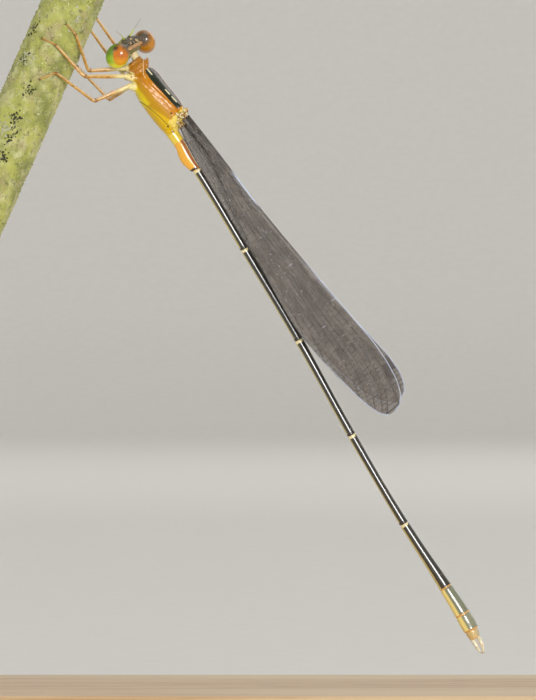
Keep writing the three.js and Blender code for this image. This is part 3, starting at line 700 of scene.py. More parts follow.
def beech_material():
    # Planed and lacquered beech: grain of 0.9 mm along the base, with short dark rays
    material, tree, surface = start_material(
        "lacquered_beech_base", IOR=1.5, Coat_Weight=0.4, Coat_Roughness=0.2)
    grain = patches(tree, 0.9, 4, (0.06, 1, 1))
    rays = patches(tree, 0.35, 2, (0.12, 1, 1))
    colour = painted(tree, "#c79a68", "#dfbb8a", grain, 0.35, 0.65)
    colour = painted(tree, colour, "#a9764a", rays, 0.62, 0.72)
    colour = painted(tree, colour, "#e6c89c", patches(tree, 14, 2, (0.3, 1, 1)), 0.45, 0.7)
    dress(tree, surface, colour, rough=(grain, 0.36, 0.5), relief=(rays, 0.015))
    return material


def steel_material():
    # Brushed stainless steel: fine rings of 0.1 mm round the rod, which spread the highlight
    material, tree, surface = start_material("brushed_steel_rod", Metallic=1.0, Anisotropic=0.5)
    rings = patches(tree, 0.1, 3, (0.05, 0.05, 1))
    colour = painted(tree, "#a9abad", "#c9cbcd", rings, 0.3, 0.7)
    dress(tree, surface, colour, rough=(rings, 0.24, 0.38), relief=(rings, 0.004))
    return material


def floor_material():
    # Seamless studio paper: pale, matt, with a faint tooth
    material, tree, surface = start_material("matt_paper_floor", IOR=1.45, Roughness=0.9)
    colour = painted(tree, "#ebe9e5", "#edebe7", patches(tree, 2.5), 0.3, 0.7)
    dress(tree, surface, colour)
    return material


BRISTLE = bristle_material()


# Bristles, as thin solid cones

def bristles(name, roots, directions, lengths, radius):
    """One piece of thin cones, each bent a little, that start just inside the surface"""
    shapes = []
    along = []
    for root, direction, length in zip(roots, unit(directions), lengths):
        side = unit(np.cross(direction, (0.3, 0.9, 0.31)))
        path = [root - direction * 0.02, root + direction * length * 0.5 + side * length * 0.03,
                root + direction * length]
        shapes.append(tube(path, [radius, radius * 0.7, radius * 0.15], 4))
        along.extend([0] * 4 + [0.5] * 4 + [1] * 4)
    make_piece(name, merge(shapes), BRISTLE, attributes={"along": along})


def scattered(points, normals, mask, count, seed):
    """Seeded random places on a skin, among the points that the mask lets through"""
    chosen = np.flatnonzero(mask)
    picks = np.random.default_rng(seed).choice(chosen, min(count, len(chosen)), replace=False)
    return points[picks], normals[picks]


# Legs: places in the thorax's frame for the left side, the knee in the model's frame, and the feet
# as (distance along the stem's axis from STEM_POINT, degrees round it from its right-hand face)
LEGS = {
    "leg_fore_left": dict(root=(2.36, 0.16, -0.05), hip=(2.6, 0.22, -0.54),
                          knee=(-7.87, -0.5, 41.9), ankle=(-1.92, 57), toe=(-1.6, 80)),
    "leg_middle_left": dict(root=(1.6, 0.4, -0.3), hip=(2.16, 0.56, -0.78),
                            knee=(-8.1, -1.6, 41.5), ankle=(-3.02, 83), toe=(-3.0, 112)),
    "leg_hind_left": dict(root=(1.1, 0.4, -0.55), hip=(1.56, 0.52, -1.0),
                          knee=(-7.5, -1.0, 40.0), ankle=(-4.58, 63), toe=(-5.36, 84)),
    "leg_fore_right": dict(root=(2.36, 0.16, -0.05), hip=(2.6, 0.22, -0.54),
                           knee=(-6.25, 2.15, 43.6), ankle=(-0.38, -33), toe=(-0.03, -54)),
    "leg_middle_right": dict(root=(1.6, 0.4, -0.3), hip=(2.16, 0.56, -0.78),
                             knee=(-6.54, 2.45, 42.78), ankle=(-1.19, -36), toe=(-0.99, -58)),
    "leg_hind_right": dict(root=(1.1, 0.4, -0.55), hip=(1.56, 0.52, -1.0),
                           knee=(-6.64, 2.45, 40.22), ankle=(-3.62, -25), toe=(-3.21, -47)),
}
STEM_AXIS = np.array([math.sin(STEM_LEAN), 0, math.cos(STEM_LEAN)])
STEM_OUT = np.array([math.cos(STEM_LEAN), 0, -math.sin(STEM_LEAN)])
STEM_LEFT = np.array([0.0, -1.0, 0.0])


def beside_stem(along, degrees, clearance):
    """A point beside the stem, a clearance off its surface"""
    angle = math.radians(degrees)
    outwards = STEM_OUT * math.cos(angle) + STEM_LEFT * math.sin(angle)
    return STEM_POINT + STEM_AXIS * along + outwards * (STEM_RADIUS + clearance)


def leg_points(name):
    leg = LEGS[name]
    mirror = np.array([1, 1 if name.endswith("left") else -1, 1])
    return {
        "root": from_body(np.array(leg["root"]) * mirror),
        "hip": from_body(np.array(leg["hip"]) * mirror),
        "knee": np.array(leg["knee"]),
        "ankle": beside_stem(*leg["ankle"], 0.24),
        "toe": beside_stem(*leg["toe"], 0.07),
    }


def coxa(points):
    """The hip of a leg, with the narrow ring before its trochanter"""
    path = np.linspace(points["root"], points["hip"], 24)
    t = np.linspace(0, 1, 24)
    radii = COXA_RADIUS * (1 - 0.28 * t) - 0.05 * bell(t - 0.72, 0.06)
    radii[-3:] *= [0.93, 0.78, 0.5]
    return tube(path, radii, 24)


def leg_path(points):
    """The middle line of a leg from the hip to the toe, with short rounded bends"""
    corners = [points["hip"], points["knee"], points["ankle"], points["toe"]]
    path = [corners[0]]
    for before, corner, after in zip(corners, corners[1:], corners[2:]):
        reach_in = unit(before - corner) * 0.16
        reach_out = unit(after - corner) * 0.16
        path += [corner + reach_in, corner + (reach_in + reach_out) * 0.28, corner + reach_out]
    path.append(corners[-1])
    return path, corners


def dense(path, spacing):
    """More points on a path of straight runs"""
    points = [path[0]]
    for start, end in zip(path, path[1:]):
        count = max(1, round(np.linalg.norm(end - start) / spacing))
        points += [start + (end - start) * i / count for i in range(1, count + 1)]
    return np.array(points)


def leg_radius(corners, points):
    """Radius of a leg along its middle line, swollen a little at each joint"""
    lengths = [0] + list(np.cumsum([np.linalg.norm(b - a) for a, b in zip(corners, corners[1:])]))
    walked = np.concatenate([[0], np.cumsum(np.linalg.norm(np.diff(points, axis=0), axis=1))])
    walked *= lengths[-1] / walked[-1]
    hip, knee, ankle, toe = lengths
    radius = np.interp(walked, [hip, hip + 0.25, (hip + knee) / 2, knee - 0.15, knee + 0.15,
                                (knee + ankle) / 2, ankle, ankle + 0.1, toe],
                       [0.17, 0.13, FEMUR_RADIUS, KNEE_RADIUS, KNEE_RADIUS * 0.92, TIBIA_RADIUS,
                        TIBIA_RADIUS * 0.86, TARSUS_RADIUS, TARSUS_RADIUS * 0.7])
    radius = radius + 0.022 * bell(walked - knee, 0.12) + 0.015 * bell(walked - ankle, 0.07)
    foot = (walked - ankle) / (toe - ankle)
    for joint in (0.3, 0.62):
        radius = radius - 0.014 * bell(foot - joint, 0.05)
    return radius, walked, lengths


def claw_pair(points):
    """Two hooked claws that spread from the toe and bite the stem"""
    forward = unit(points["toe"] - points["ankle"])
    axis_point = STEM_POINT + STEM_AXIS * ((points["toe"] - STEM_POINT) @ STEM_AXIS)
    inward = unit(axis_point - points["toe"])
    across = np.cross(forward, inward)
    claws = []
    for side in (-1, 1):
        path = curve_through([
            points["toe"] - forward * 0.04,
            points["toe"] + forward * 0.08 + across * side * 0.07,
            points["toe"] + forward * 0.15 + across * side * 0.1 + inward * 0.07,
        ], 8)
        claws.append(tube(path, np.linspace(0.028, 0.006, 8), 6))
    return claws


def make_leg(name, material):
    points = leg_points(name)
    bends, corners = leg_path(points)
    path = dense([points["hip"] - unit(points["knee"] - points["hip"]) * 0.12] + bends, 0.05)
    radius, walked, lengths = leg_radius(corners, path)
    shape, faces = tube(path, radius, 16, up=(0.0, -1.0, 0.3))
    claws = claw_pair(points)
    steps = np.repeat(walked, 16)
    ring = np.tile(np.linspace(0, 2 * math.pi, 16, endpoint=False), len(path))
    extra = sum(len(claw[0]) for claw in claws)
    joints = 0.1 - np.min([np.abs(steps - length) for length in lengths[1:3]], axis=0)
    # Painted highlight stripe at one angle round the leg, from the hip to the ankle
    lit = np.where(steps < lengths[2], 0.035 - np.abs(np.sin((ring - 0.7) / 2)) * 0.12, -0.1)
    marks = {
        "pale": (0.9 - steps, -1.0),
        "joint": (joints - 0.03, -1.0),
        "leg_highlight": (lit, -1.0),
        "claw": (steps - lengths[3] + 0.03, 1.0),
    }
    attributes = {}
    for key, (on_leg, on_claws) in marks.items():
        attributes[key] = np.concatenate([on_leg, np.full(extra, on_claws)])
    nodes = [name + "_femur", name + "_tibia", name + "_tarsus"]
    skin = merge([(shape, faces), *claws])
    make_piece(name + "_skin", skin, material, nodes, attributes)
    leg_spines(name, corners)


def leg_spines(name, corners):
    """Two rows of spines under the femur and the tibia, fewer and longer towards the foot"""
    rng = random.Random(name)
    roots = []
    directions = []
    sizes = []
    for part, (start, end) in enumerate(zip(corners[:2], corners[1:3])):
        forward = unit(end - start)
        other = corners[2] - corners[0]
        inner = unit(other - forward * (other @ forward)) * (1 if part == 0 else -1)
        across = np.cross(forward, inner)
        length = np.linalg.norm(end - start)
        for row in (-1, 1):
            place = 0.35
            while place < length - 0.15:
                out = unit(inner * 0.8 + across * row * 0.75)
                roots.append(start + forward * place + out * TIBIA_RADIUS * 0.85)
                directions.append(out + forward * rng.uniform(0.45, 0.8))
                sizes.append(SPINE_LENGTH * rng.uniform(0.65, 1.1))
                place += rng.uniform(0.26, 0.4)
    bristles(name + "_spines", roots, directions, sizes, 0.01)


# Thorax, prothorax, neck and hips as one skin

def roof_ring(x, slant, top, bottom, half_width, keel, sides=120):
    """One section of the thorax: a roof-like upper half with a keel, a rounder lower half"""
    angle = np.linspace(0, 2 * math.pi, sides, endpoint=False)
    rise = np.cos(angle)
    squareness = np.where(rise > 0, 0.86, 1.0)
    middle = (top + bottom) / 2
    height = (top - bottom) / 2 * np.sign(rise) * np.abs(rise) ** squareness
    ridge = keel * bell(np.minimum(angle, 2 * math.pi - angle), 0.07)
    z = middle + height + ridge
    return np.stack([x + slant * (z - middle), half_width * np.sin(angle), z], -1)


def thorax_shape():
    top = smooth_profile([(-2.1, 0.84), (-1.2, 0.9), (0.4, 0.87), (1.3, 0.85), (1.8, 0.72)])
    bottom = smooth_profile([
        (-2.1, -0.93), (-1.3, -1.04), (-0.3, -1.08), (1.1, -0.9), (1.8, -0.55)])
    width = smooth_profile([(-2.1, 0.68), (-1.2, 0.9), (0.1, 1.03), (1.1, 0.95), (1.8, 0.62)])
    rings = []
    for x in np.linspace(THORAX_REAR, THORAX_FRONT, 90):
        slant = THORAX_SLANT * max(0, x / THORAX_REAR)
        end = 1 - 0.1 * bell(x - THORAX_FRONT, 0.1) - 0.12 * bell(x - THORAX_REAR, 0.1)
        sizes = (top(x) * end, bottom(x) * end, width(x) * end)
        rings.append(roof_ring(x, slant, *sizes, CARINA_HEIGHT))
    return loft(rings)


def prothorax_shape():
    """A low collar with a front ridge, a swollen middle and a raised hind lobe"""
    top = smooth_profile([
        (0, 0.6), (0.08, 0.7), (0.18, 0.67), (0.38, 0.84), (0.55, 0.8), (0.66, 0.72), (1, 0.7)])
    bottom = smooth_profile([(0, -0.46), (0.12, -0.56), (0.4, -0.58), (1, -0.5)])
    width = smooth_profile([
        (0, 0.55), (0.08, 0.86), (0.18, 0.84), (0.38, 1.06), (0.55, 1.08), (0.66, 0.98), (1, 1.0)])
    rings = []
    for t in np.linspace(0, 1, 40):
        x = PROTHORAX_FRONT - t * (PROTHORAX_FRONT - PROTHORAX_REAR)
        rings.append(roof_ring(x, 0, top(t), bottom(t), PROTHORAX_HALF_WIDTH * width(t), 0, 72))
    path = curve_through([(1.86, 0, 0.62), (2.1, 0, 0.84), (2.32, 0, 0.98)], 14)
    points, faces = tube(path, np.linspace(0.1, 0.055, 14), 24)
    points[:, 1] *= 3.2
    return [loft(rings), (points, faces)]


def neck_shape():
    path = np.linspace((2.5, 0.0, 0.36), (3.35, 0.17, 0.48), 20)
    t = np.linspace(0, 1, 20)
    return tube(path, 0.25 - 0.03 * np.sin(t * 22), 28)


def wing_root_shapes():
    """Swellings of the body wall where the wings are hinged"""
    shapes = []
    for side in (-1, 1):
        shapes.append(ellipsoid((-1.3, side * 0.66, 0.62), (0.42, 0.24, 0.24)))
        shapes.append(ellipsoid((-1.78, side * 0.36, 0.3), (0.34, 0.22, 0.26)))
        shapes.append(ellipsoid((-1.95, side * 0.4, -0.25), (0.26, 0.26, 0.3)))
    return shapes


def waist_shape():
    """The thorax's tapering end, which leads into the first segment of the abdomen"""
    path = curve_through([(-1.3, 0, -0.34), (-1.9, 0, -0.45), (-2.42, 0, -0.6)], 20)
    radii = np.interp(np.linspace(0, 1, 20), [0, 0.5, 0.85, 1], [0.68, 0.6, 0.44, 0.38])
    return tube(path, radii, 40)


# Lines of the markings on the thorax's side, in the thorax's frame
BAND_EDGE = [(-1.4, 0.56), (-1.18, 0.54), (-0.62, 0.47), (-0.18, 0.45), (0.42, 0.38), (1.02, 0.32),
             (1.55, 0.34), (1.8, 0.42)]
FLANK_EDGE = [(-2.1, -0.12), (-1.46, -0.29), (-0.95, -0.48), (-0.41, -0.66), (0.1, -0.85),
              (0.6, -0.99)]
SUTURE_LINE = [(0.45, -1.06), (0.31, -0.98), (-0.32, -0.78), (-1.15, -0.63), (-1.88, -0.51)]
# A broken pinkish painted highlight runs along these two lines, each in a shallow groove
HIGHLIGHT_LINE = [(1.14, -0.21), (0.68, -0.14), (0.27, 0.03), (-0.42, 0.21), (-1.24, 0.35)]
LOW_HIGHLIGHT_LINE = [(0.25, -0.12), (-0.31, 0.0), (-0.94, 0.08)]
HUMERAL_LINE = [(1.48, 0.2), (0.9, 0.2), (0.2, 0.3), (-0.6, 0.42), (-1.3, 0.5)]
COLLAR_LINE = [(2.32, 0.72), (1.95, 0.42), (1.59, 0.16), (1.32, 0.13)]
# Short streaks of painted highlight on the upper side of the thorax
HIGHLIGHT_STREAKS = [
    [(1.74, 0.55), (1.27, 0.58)],
    [(0.02, 0.68), (-0.35, 0.71)],
    [(-0.57, 0.74), (-0.98, 0.78)],
]
# Grooves in the skin along such lines, with their depth and half width, and two round pits
GROOVES = [
    (SUTURE_LINE, 0.03, 0.035),
    (HIGHLIGHT_LINE, 0.022, 0.05),
    (LOW_HIGHLIGHT_LINE, 0.014, 0.04),
    (HUMERAL_LINE, 0.02, 0.045),
]
PITS = [(-1.38, 0.08), (-1.89, -0.57)]


def thorax_markings(points):
    """How far inside each marking every point of the skin is, in millimetres"""
    x, y, z = points.T
    edge_x, edge_z = np.array(BAND_EDGE).T
    band = np.minimum(z - np.interp(x, edge_x, edge_z), np.minimum(1.86 - x, x + 1.38))
    flank_x, flank_z = np.array(FLANK_EDGE).T
    flank = np.minimum(np.interp(x, flank_x, flank_z) - z, 0.62 - x)
    belly = np.minimum(-0.62 - z, x + 0.1)
    # Painted highlight streaks, kept off the middle plane
    highlight_streak = 0.036 - np.min([line_distance(x, z, line) for line in HIGHLIGHT_STREAKS], axis=0)
    # Painted highlight along the two highlight lines, broken into pieces and kept off the middle
    # plane
    gaps = lumps(points, 0.2, 3.1) * 0.09 - 0.015
    thorax_highlight = np.maximum(0.04 - line_distance(x, z, HIGHLIGHT_LINE),
                       0.02 - line_distance(x, z, LOW_HIGHLIGHT_LINE))
    collar = np.maximum(0.026 - line_distance(x, z, COLLAR_LINE),
                        np.minimum(0.04 - np.abs(z + 0.42), x - 2.2))
    hips = np.full(len(points), -1.0)
    for name in LEGS:
        leg = leg_points(name)
        start, end = to_body(leg["root"]), to_body(leg["hip"])
        nearest = 0.95 if "fore" in name else 0.66
        reach = (end - start) @ (end - start)
        t = np.clip(((points - start) @ (end - start)) / reach, nearest, 1)
        distance = np.linalg.norm(points - start - t[:, None] * (end - start), axis=1)
        hips = np.maximum(hips, 0.34 - distance)
    seen = np.where(np.abs(y) > 0.12, 0.0, -1.0)
    return {
        "band": np.minimum(band, 1.75 - x),
        "flank": flank,
        "belly": belly,
        "suture": 0.022 - line_distance(x, z, SUTURE_LINE),
        "thorax_highlight": thorax_highlight + gaps + seen,
        "highlight_streak": np.minimum(highlight_streak, 0.1 + seen),
        "keel": np.minimum(0.075 - np.abs(y), np.minimum(z - 0.7, 1.8 - x)),
        "front": x - 1.84,
        "collar": collar,
        "golden": -0.12 - 0.1 * x - z,
        "neck": np.minimum(x - 2.66, 1.0),
        "coxa": hips,
        "hinge": np.minimum(-1.62 - x + 0.12 * z, z + 0.42),
        "spot": 0.06 - np.hypot(x - 1.89, z + 0.53),
        "pit": 0.055 - np.min([np.hypot(x - pit_x, z - pit_z) for pit_x, pit_z in PITS], axis=0),
    }


def make_thorax():
    hips = [(to_body(points), faces) for points, faces in (coxa(leg_points(name)) for name in LEGS)]
    shapes = [thorax_shape(), *prothorax_shape(), neck_shape(), *wing_root_shapes(), waist_shape(),
              *hips]
    points, faces, normals = fuse(shapes, BODY_VOXEL, 7)
    x, y, z = points.T
    on_side = np.clip(np.abs(normals[:, 1]) * 2.5, 0, 1)
    grooves = sum(depth * bell(line_distance(x, z, line), width) for line, depth, width in GROOVES)
    grooves += sum(0.05 * bell(np.hypot(x - pit_x, z - pit_z), 0.06) for pit_x, pit_z in PITS)
    swelling = np.where(x > 1.9, lumps(points, 0.2, 5.0) * 0.035, lumps(points, 0.5, 9.0) * 0.008)
    points = points + normals * (swelling - grooves * on_side)[:, None]
    shape = (from_body(points), faces)
    make_piece("thorax_skin", shape, thorax_material(),
               ["neck", "prothorax", "thorax"], thorax_markings(points))
    back = (np.abs(y) < 0.7) & (z > 0.5) & (x > -1.2)
    roots, ups = scattered(points, normals, back | (x > 1.95), 260, 21)
    rng = np.random.default_rng(22)
    lean = ups + rng.normal(0, 0.25, ups.shape)
    lengths = rng.uniform(0.06, 0.13, len(roots))
    bristles("thorax_hairs", from_body(roots), lean @ BODY_AXES, lengths, 0.005)
    make_hinges()


# Middles of the groups of hinge plates on the left side, in the thorax's frame
HINGE_PLACES = [
    (-1.62, 0.66, 0.5), (-1.7, 0.5, 0.8), (-1.95, 0.7, 0.6), (-2.12, 0.42, 0.3), (-1.9, 0.5, 0.1),
    (-2.1, 0.42, -0.1), (-2.02, 0.82, 0.66), (-1.5, 0.7, 0.72), (-1.8, 0.34, 0.88), (-1.75, 0.7, 0.3),
    (-1.92, 0.6, -0.2), (-2.15, 0.42, -0.4), (-2.3, 0.36, 0.12), (-2.36, 0.34, 0.3),
]


def make_hinges():
    """Small plates, one against the other, between the body wall and the roots of the wings"""
    rng = np.random.default_rng(31)
    shapes = []
    for side in (-1, 1):
        for place in HINGE_PLACES:
            for _ in range(4):
                centre = np.array(place) * (1, side, 1) + rng.normal(0, 0.08, 3)
                size = rng.uniform(0.045, 0.08, 3) * (2.2, 0.6, 1.1)
                lean = turn("Y", rng.uniform(-50, 50)) @ turn("X", rng.uniform(-40, 40))
                shapes.append(ellipsoid(centre, size, 16, 10, lean))
    points, faces, _ = fuse(shapes, 0.02, 2)
    tint = lumps(points, 0.13, 4.0) * 0.9 + 0.45
    make_piece("wing_hinges", (from_body(points), faces), hinge_material(),
               attributes={"tint": tint})


# Abdomen: length, slope below the horizontal, and front, middle and rear half widths by segment
SEGMENTS = [
    (0.64, 54.6, (0.4, 0.38, 0.375)),
    (2.03, 56.9, (0.375, 0.405, 0.3)),
    (5.72, 58.9, (0.27, 0.25, 0.26)),
    (6.54, 59.2, (0.27, 0.25, 0.26)),
    (6.71, 60.9, (0.27, 0.25, 0.26)),
    (6.36, 59.4, (0.27, 0.25, 0.28)),
    (4.72, 56.9, (0.29, 0.32, 0.4)),
    (1.95, 57.8, (0.41, 0.44, 0.48)),
    (1.1, 61.3, (0.48, 0.49, 0.46)),
    (0.62, 64.7, (0.42, 0.38, 0.3)),
]
ABDOMEN_START = np.array([-2.68, 0, 38.06])
GENITAL_BULGE = 0.16
RING_SPACING = 0.05
# How strongly the enamel is worn pale in its patches
WORN_SHARE = 0.35
# How far down each segment's dark back reaches, in degrees from the middle of the back
DARK_BACK = [24, 80, 134, 138, 138, 138, 134, 112, 108, 60]


def abdomen_joints():
    joints = [ABDOMEN_START]
    for length, slope, _ in SEGMENTS:
        angle = math.radians(slope)
        joints.append(joints[-1] + np.array([math.cos(angle), 0, -math.sin(angle)]) * length)
    return np.array(joints)


def abdomen_stations():
    """Places along the abdomen: segment, share of it, and its length"""
    stations = []
    for number, (length, _, _) in enumerate(SEGMENTS):
        count = math.ceil(length / RING_SPACING)
        stations += [(number, (i + 0.5) / count, length) for i in range(count)]
    return stations


def segment_radius(number, along, length):
    """Half width of a segment, with the groove at its front and the raised rim at its rear"""
    radii = SEGMENTS[number][2]
    radius = float(smooth_profile([(0, radii[0]), (0.5, radii[1]), (1, radii[2])])(along))
    from_front = along * length
    from_rear = (1 - along) * length
    depth = {0: 0.0, 1: 0.022}.get(number, 0.055)
    edge = 0.0 if number == 0 else 1.0
    groove = depth * bell(from_front, 0.06) + 0.03 * edge * bell(from_rear, 0.02)
    return radius - groove + 0.016 * edge * bell(from_rear - 0.07, 0.05)


def abdomen_line():
    """For a distance walked down the abdomen, its middle and the direction to its tip"""
    joints = abdomen_joints()
    steps = np.concatenate([[0], np.cumsum([length for length, _, _ in SEGMENTS])])
    curves = [smooth_profile(list(zip(steps, joints[:, i]))) for i in range(3)]

    def at(walked):
        centre = np.array([curve(walked) for curve in curves])
        if walked > steps[-1] - 0.05:
            return centre, unit(joints[-1] - joints[-2])
        if walked <= 0.05:
            return centre, unit(joints[1] - joints[0])
        ahead = np.array([curve(walked + 0.05) for curve in curves])
        behind = np.array([curve(walked - 0.05) for curve in curves])
        return centre, unit(ahead - behind)

    return steps, at


def segment_marks(number, along, length, size, angle, from_top):
    """How far inside each of its markings every point of one ring of the abdomen is"""
    front = max(along, 0) * length
    rear = (1 - along) * length
    none = np.full(len(angle), -1.0)
    on_flank = size * (from_top - math.radians(70))
    rim = 0.06 - rear if number == 6 else max(0.07 - rear, 0.04 - front)
    marks = {
        "segment": none + 1 + number + min(max(along, 0.01), 0.99),
        "above": size * (math.radians(DARK_BACK[number]) - from_top),
        "dorsum": none,
        "ring": none,
        "foot": none,
        "rim": none + 1 + rim if number >= 6 else none,
        "line": none,
    }
    if number == 1:
        marks["dorsum"] = size * (math.radians(34) - from_top)
        # Painted highlight: a pale line at a fixed angle round the second segment
        marks["line"] = 0.03 - size * np.abs(angle - math.radians(38))
    if 1 <= number <= 5:
        marks["foot"] = np.minimum(0.16 - rear, on_flank)
    if 2 <= number <= 6:
        marks["ring"] = np.where(from_top > 0.9, 0.2 - front, 0.1 - front)
    return marks


def make_abdomen(material):
    """All ten segments as one skin, with a lead-in that is hidden in the thorax"""
    steps, line_at = abdomen_line()
    angle = np.linspace(0, 2 * math.pi, 48, endpoint=False)
    from_top = np.minimum(angle, 2 * math.pi - angle)
    rings = []
    marks = []
    lead_in = [(0, -0.45 + 0.05 * i, 1.0) for i in range(9)]
    for number, along, length in lead_in + abdomen_stations():
        centre, forward = line_at(steps[number] + max(along, 0) * length)
        if along < 0:
            centre = centre + forward * along
            size = segment_radius(number, 0.12, length)
        else:
            size = segment_radius(number, along, length)
        up = np.array([-forward[2], 0, forward[0]])
        bulge = GENITAL_BULGE * max(0, math.sin(math.pi * along * 1.15 - 0.6)) if number == 1 else 0
        fold = 1 - 0.07 * bell(from_top - math.radians(122), 0.12) + 0.02 * bell(from_top, 0.1)
        across = size * fold * np.sin(angle)
        rise = size * fold * np.cos(angle)
        rise = np.where(rise < 0, rise * (1 + bulge / 2 / size), rise) - bulge / 2
        rings.append(centre + np.outer(rise, up) + np.outer(across, (0, -1, 0)))
        marks.append(segment_marks(number, along, length, size, angle, from_top))
    attributes = {key: np.concatenate([mark[key] for mark in marks]) for key in marks[0]}
    nodes = ["abdomen_%d" % (i + 1) for i in range(len(SEGMENTS))]
    make_piece("abdomen_skin", loft(rings), material, nodes, attributes)


# Claspers: the height of their root, of their start, middle and tip, and how far they reach
CLASPERS = [
    ("cerci", 0.22, (0.25, 0.2, 0.0), 1.02),
    ("paraprocts", -0.2, (-0.23, -0.12, -0.04), 0.94),
]


def make_claspers():
    """The upper pair hooks down, the lower pair is straighter and slimmer"""
    joints = abdomen_joints()
    end = joints[-1]
    along = unit(end - joints[-2])
    dorsal = np.array([-along[2], 0, along[0]])
    material = clasper_material()
    for name, root_up, (start_up, middle_up, tip_up), reach in CLASPERS:
        shapes = []
        for side in (-1, 1):
            aside = np.array([0, side, 0])
            path = curve_through([
                end + along * -0.1 + dorsal * start_up * 0.8 + aside * 0.1,
                end + along * reach * 0.55 + dorsal * middle_up + aside * 0.17,
                end + along * reach * 0.86 + dorsal * (middle_up + tip_up) * 0.55 + aside * 0.14,
                end + along * reach * 0.97 + dorsal * tip_up + aside * 0.06,
            ], 26)
            t = np.linspace(0, 1, 26)
            radii = 0.14 - 0.02 * bell(t - 0.1, 0.08) + 0.01 * bell(t - 0.45, 0.2) - 0.1 * t ** 2
            radii[-1] = 0.02
            shapes.append(tube(path, radii, 18))
        shapes.append(ellipsoid(end + along * 0.03 + dorsal * root_up, (0.14, 0.22, 0.12)))
        points, faces, normals = fuse(shapes, 0.02, 4)
        reached = (points - end) @ along / reach
        make_piece(name + "_skin", (points, faces), material, [name],
                   {"along": reached})
        roots, ups = scattered(points, normals, reached > 0.1, 24, 41)
        rng = np.random.default_rng(42)
        bristles(name + "_hairs", roots, ups + along * 1.4, rng.uniform(0.04, 0.08, len(roots)),
                 0.004)


# Head

def head_shapes():
    """A bar between the eyes, the bulging face, upper lip, jaws, chin and feeler sockets"""
    shapes = [
        ellipsoid((0.2, 0, 0.02), (0.5, 1.3, 0.58), 64, 40),
        ellipsoid((0.42, 0, -0.14), (0.42, 0.78, 0.46), 48, 32),
        ellipsoid((0.66, 0, -0.3), (0.24, 0.56, 0.24), 48, 32),
        ellipsoid((0.52, 0, -0.62), (0.26, 0.5, 0.26), 48, 32),
        ellipsoid((0.24, 0, -0.46), (0.42, 0.64, 0.36), 48, 32),
        ellipsoid((0.2, 0, -0.78), (0.4, 0.42, 0.2), 48, 32),
        ellipsoid((0.7, 0, 0.02), (0.14, 0.5, 0.14), 40, 20),
        ellipsoid((-0.12, 0, 0.4), (0.14, 0.85, 0.12), 40, 20),
    ]
    for side in (-1, 1):
        shapes.append(ellipsoid((0.6, side * 0.25, 0.34), (0.13, 0.13, 0.12), 24, 16))
        shapes.append(ellipsoid((0.46, side * 0.5, -0.55), (0.24, 0.16, 0.26), 32, 20))
        shapes.append(ellipsoid((0.2, side * 0.42, 0.47), (0.22, 0.22, 0.13), 32, 20))
        shapes.append(ellipsoid((0.42, side * 0.24, -0.9), (0.2, 0.1, 0.09), 24, 16))
    return shapes


def head_markings(points):
    x, y, z = points.T
    flecks = lumps(points, 0.11, 7.7) * 0.2 - 0.085
    on_top = np.minimum(z - 0.3, 0.5)
    seams = np.minimum(np.abs(z + 0.13 - 0.1 * np.abs(y)), np.abs(z + 0.45))
    return {
        "face": np.minimum(0.24 - z, x - 0.3),
        "lip": np.minimum(-0.47 - z, x - 0.4),
        "seam": np.where(x > 0.5, 0.02 - seams, -1),
        "ridge": np.minimum(0.11 - np.hypot(x + 0.14, z - 0.44), 0.9 - np.abs(y)),
        "fleck": np.minimum(flecks, on_top),
        "rear": np.minimum(-0.12 - x, 0.3 - z),
    }


def make_head():
    points, faces, normals = fuse(head_shapes(), HEAD_VOXEL, 5)
    x, y, z = points.T
    seams = bell(z + 0.13 - 0.1 * np.abs(y), 0.03) + bell(z + 0.45, 0.03)
    seams = np.where(x > 0.45, seams * 0.03, 0)
    middle_seam = np.where((x > 0.3) & (z > -0.1), 0.015 * bell(y, 0.03), 0)
    points = points + normals * (lumps(points, 0.14, 2.0) * 0.02 - seams - middle_seam)[:, None]
    make_piece("head_skin", (from_head(points), faces), head_material(), ["head"],
               head_markings(points))
    make_ocelli()
    clear_of_eyes = np.abs(y) < 0.75
    roots, ups = scattered(points, normals, clear_of_eyes & (x > -0.1), 170, 51)
    rng = np.random.default_rng(52)
    lean = (ups + rng.normal(0, 0.25, ups.shape)) @ HEAD_AXES.T @ BODY_AXES
    lengths = rng.uniform(0.07, 0.15, len(roots))
    bristles("head_hairs", from_head(roots), lean, lengths, 0.005)


def make_ocelli():
    material = ocellus_material()
    for name, (x, y) in [("middle", (0.36, 0)), ("left", (0.1, 0.24)), ("right", (0.1, -0.24))]:
        shape, faces = ellipsoid((x, y, 0.56), (0.075, 0.075, 0.07), 28, 18)
        make_piece("ocellus_" + name, (from_head(shape), faces), material)


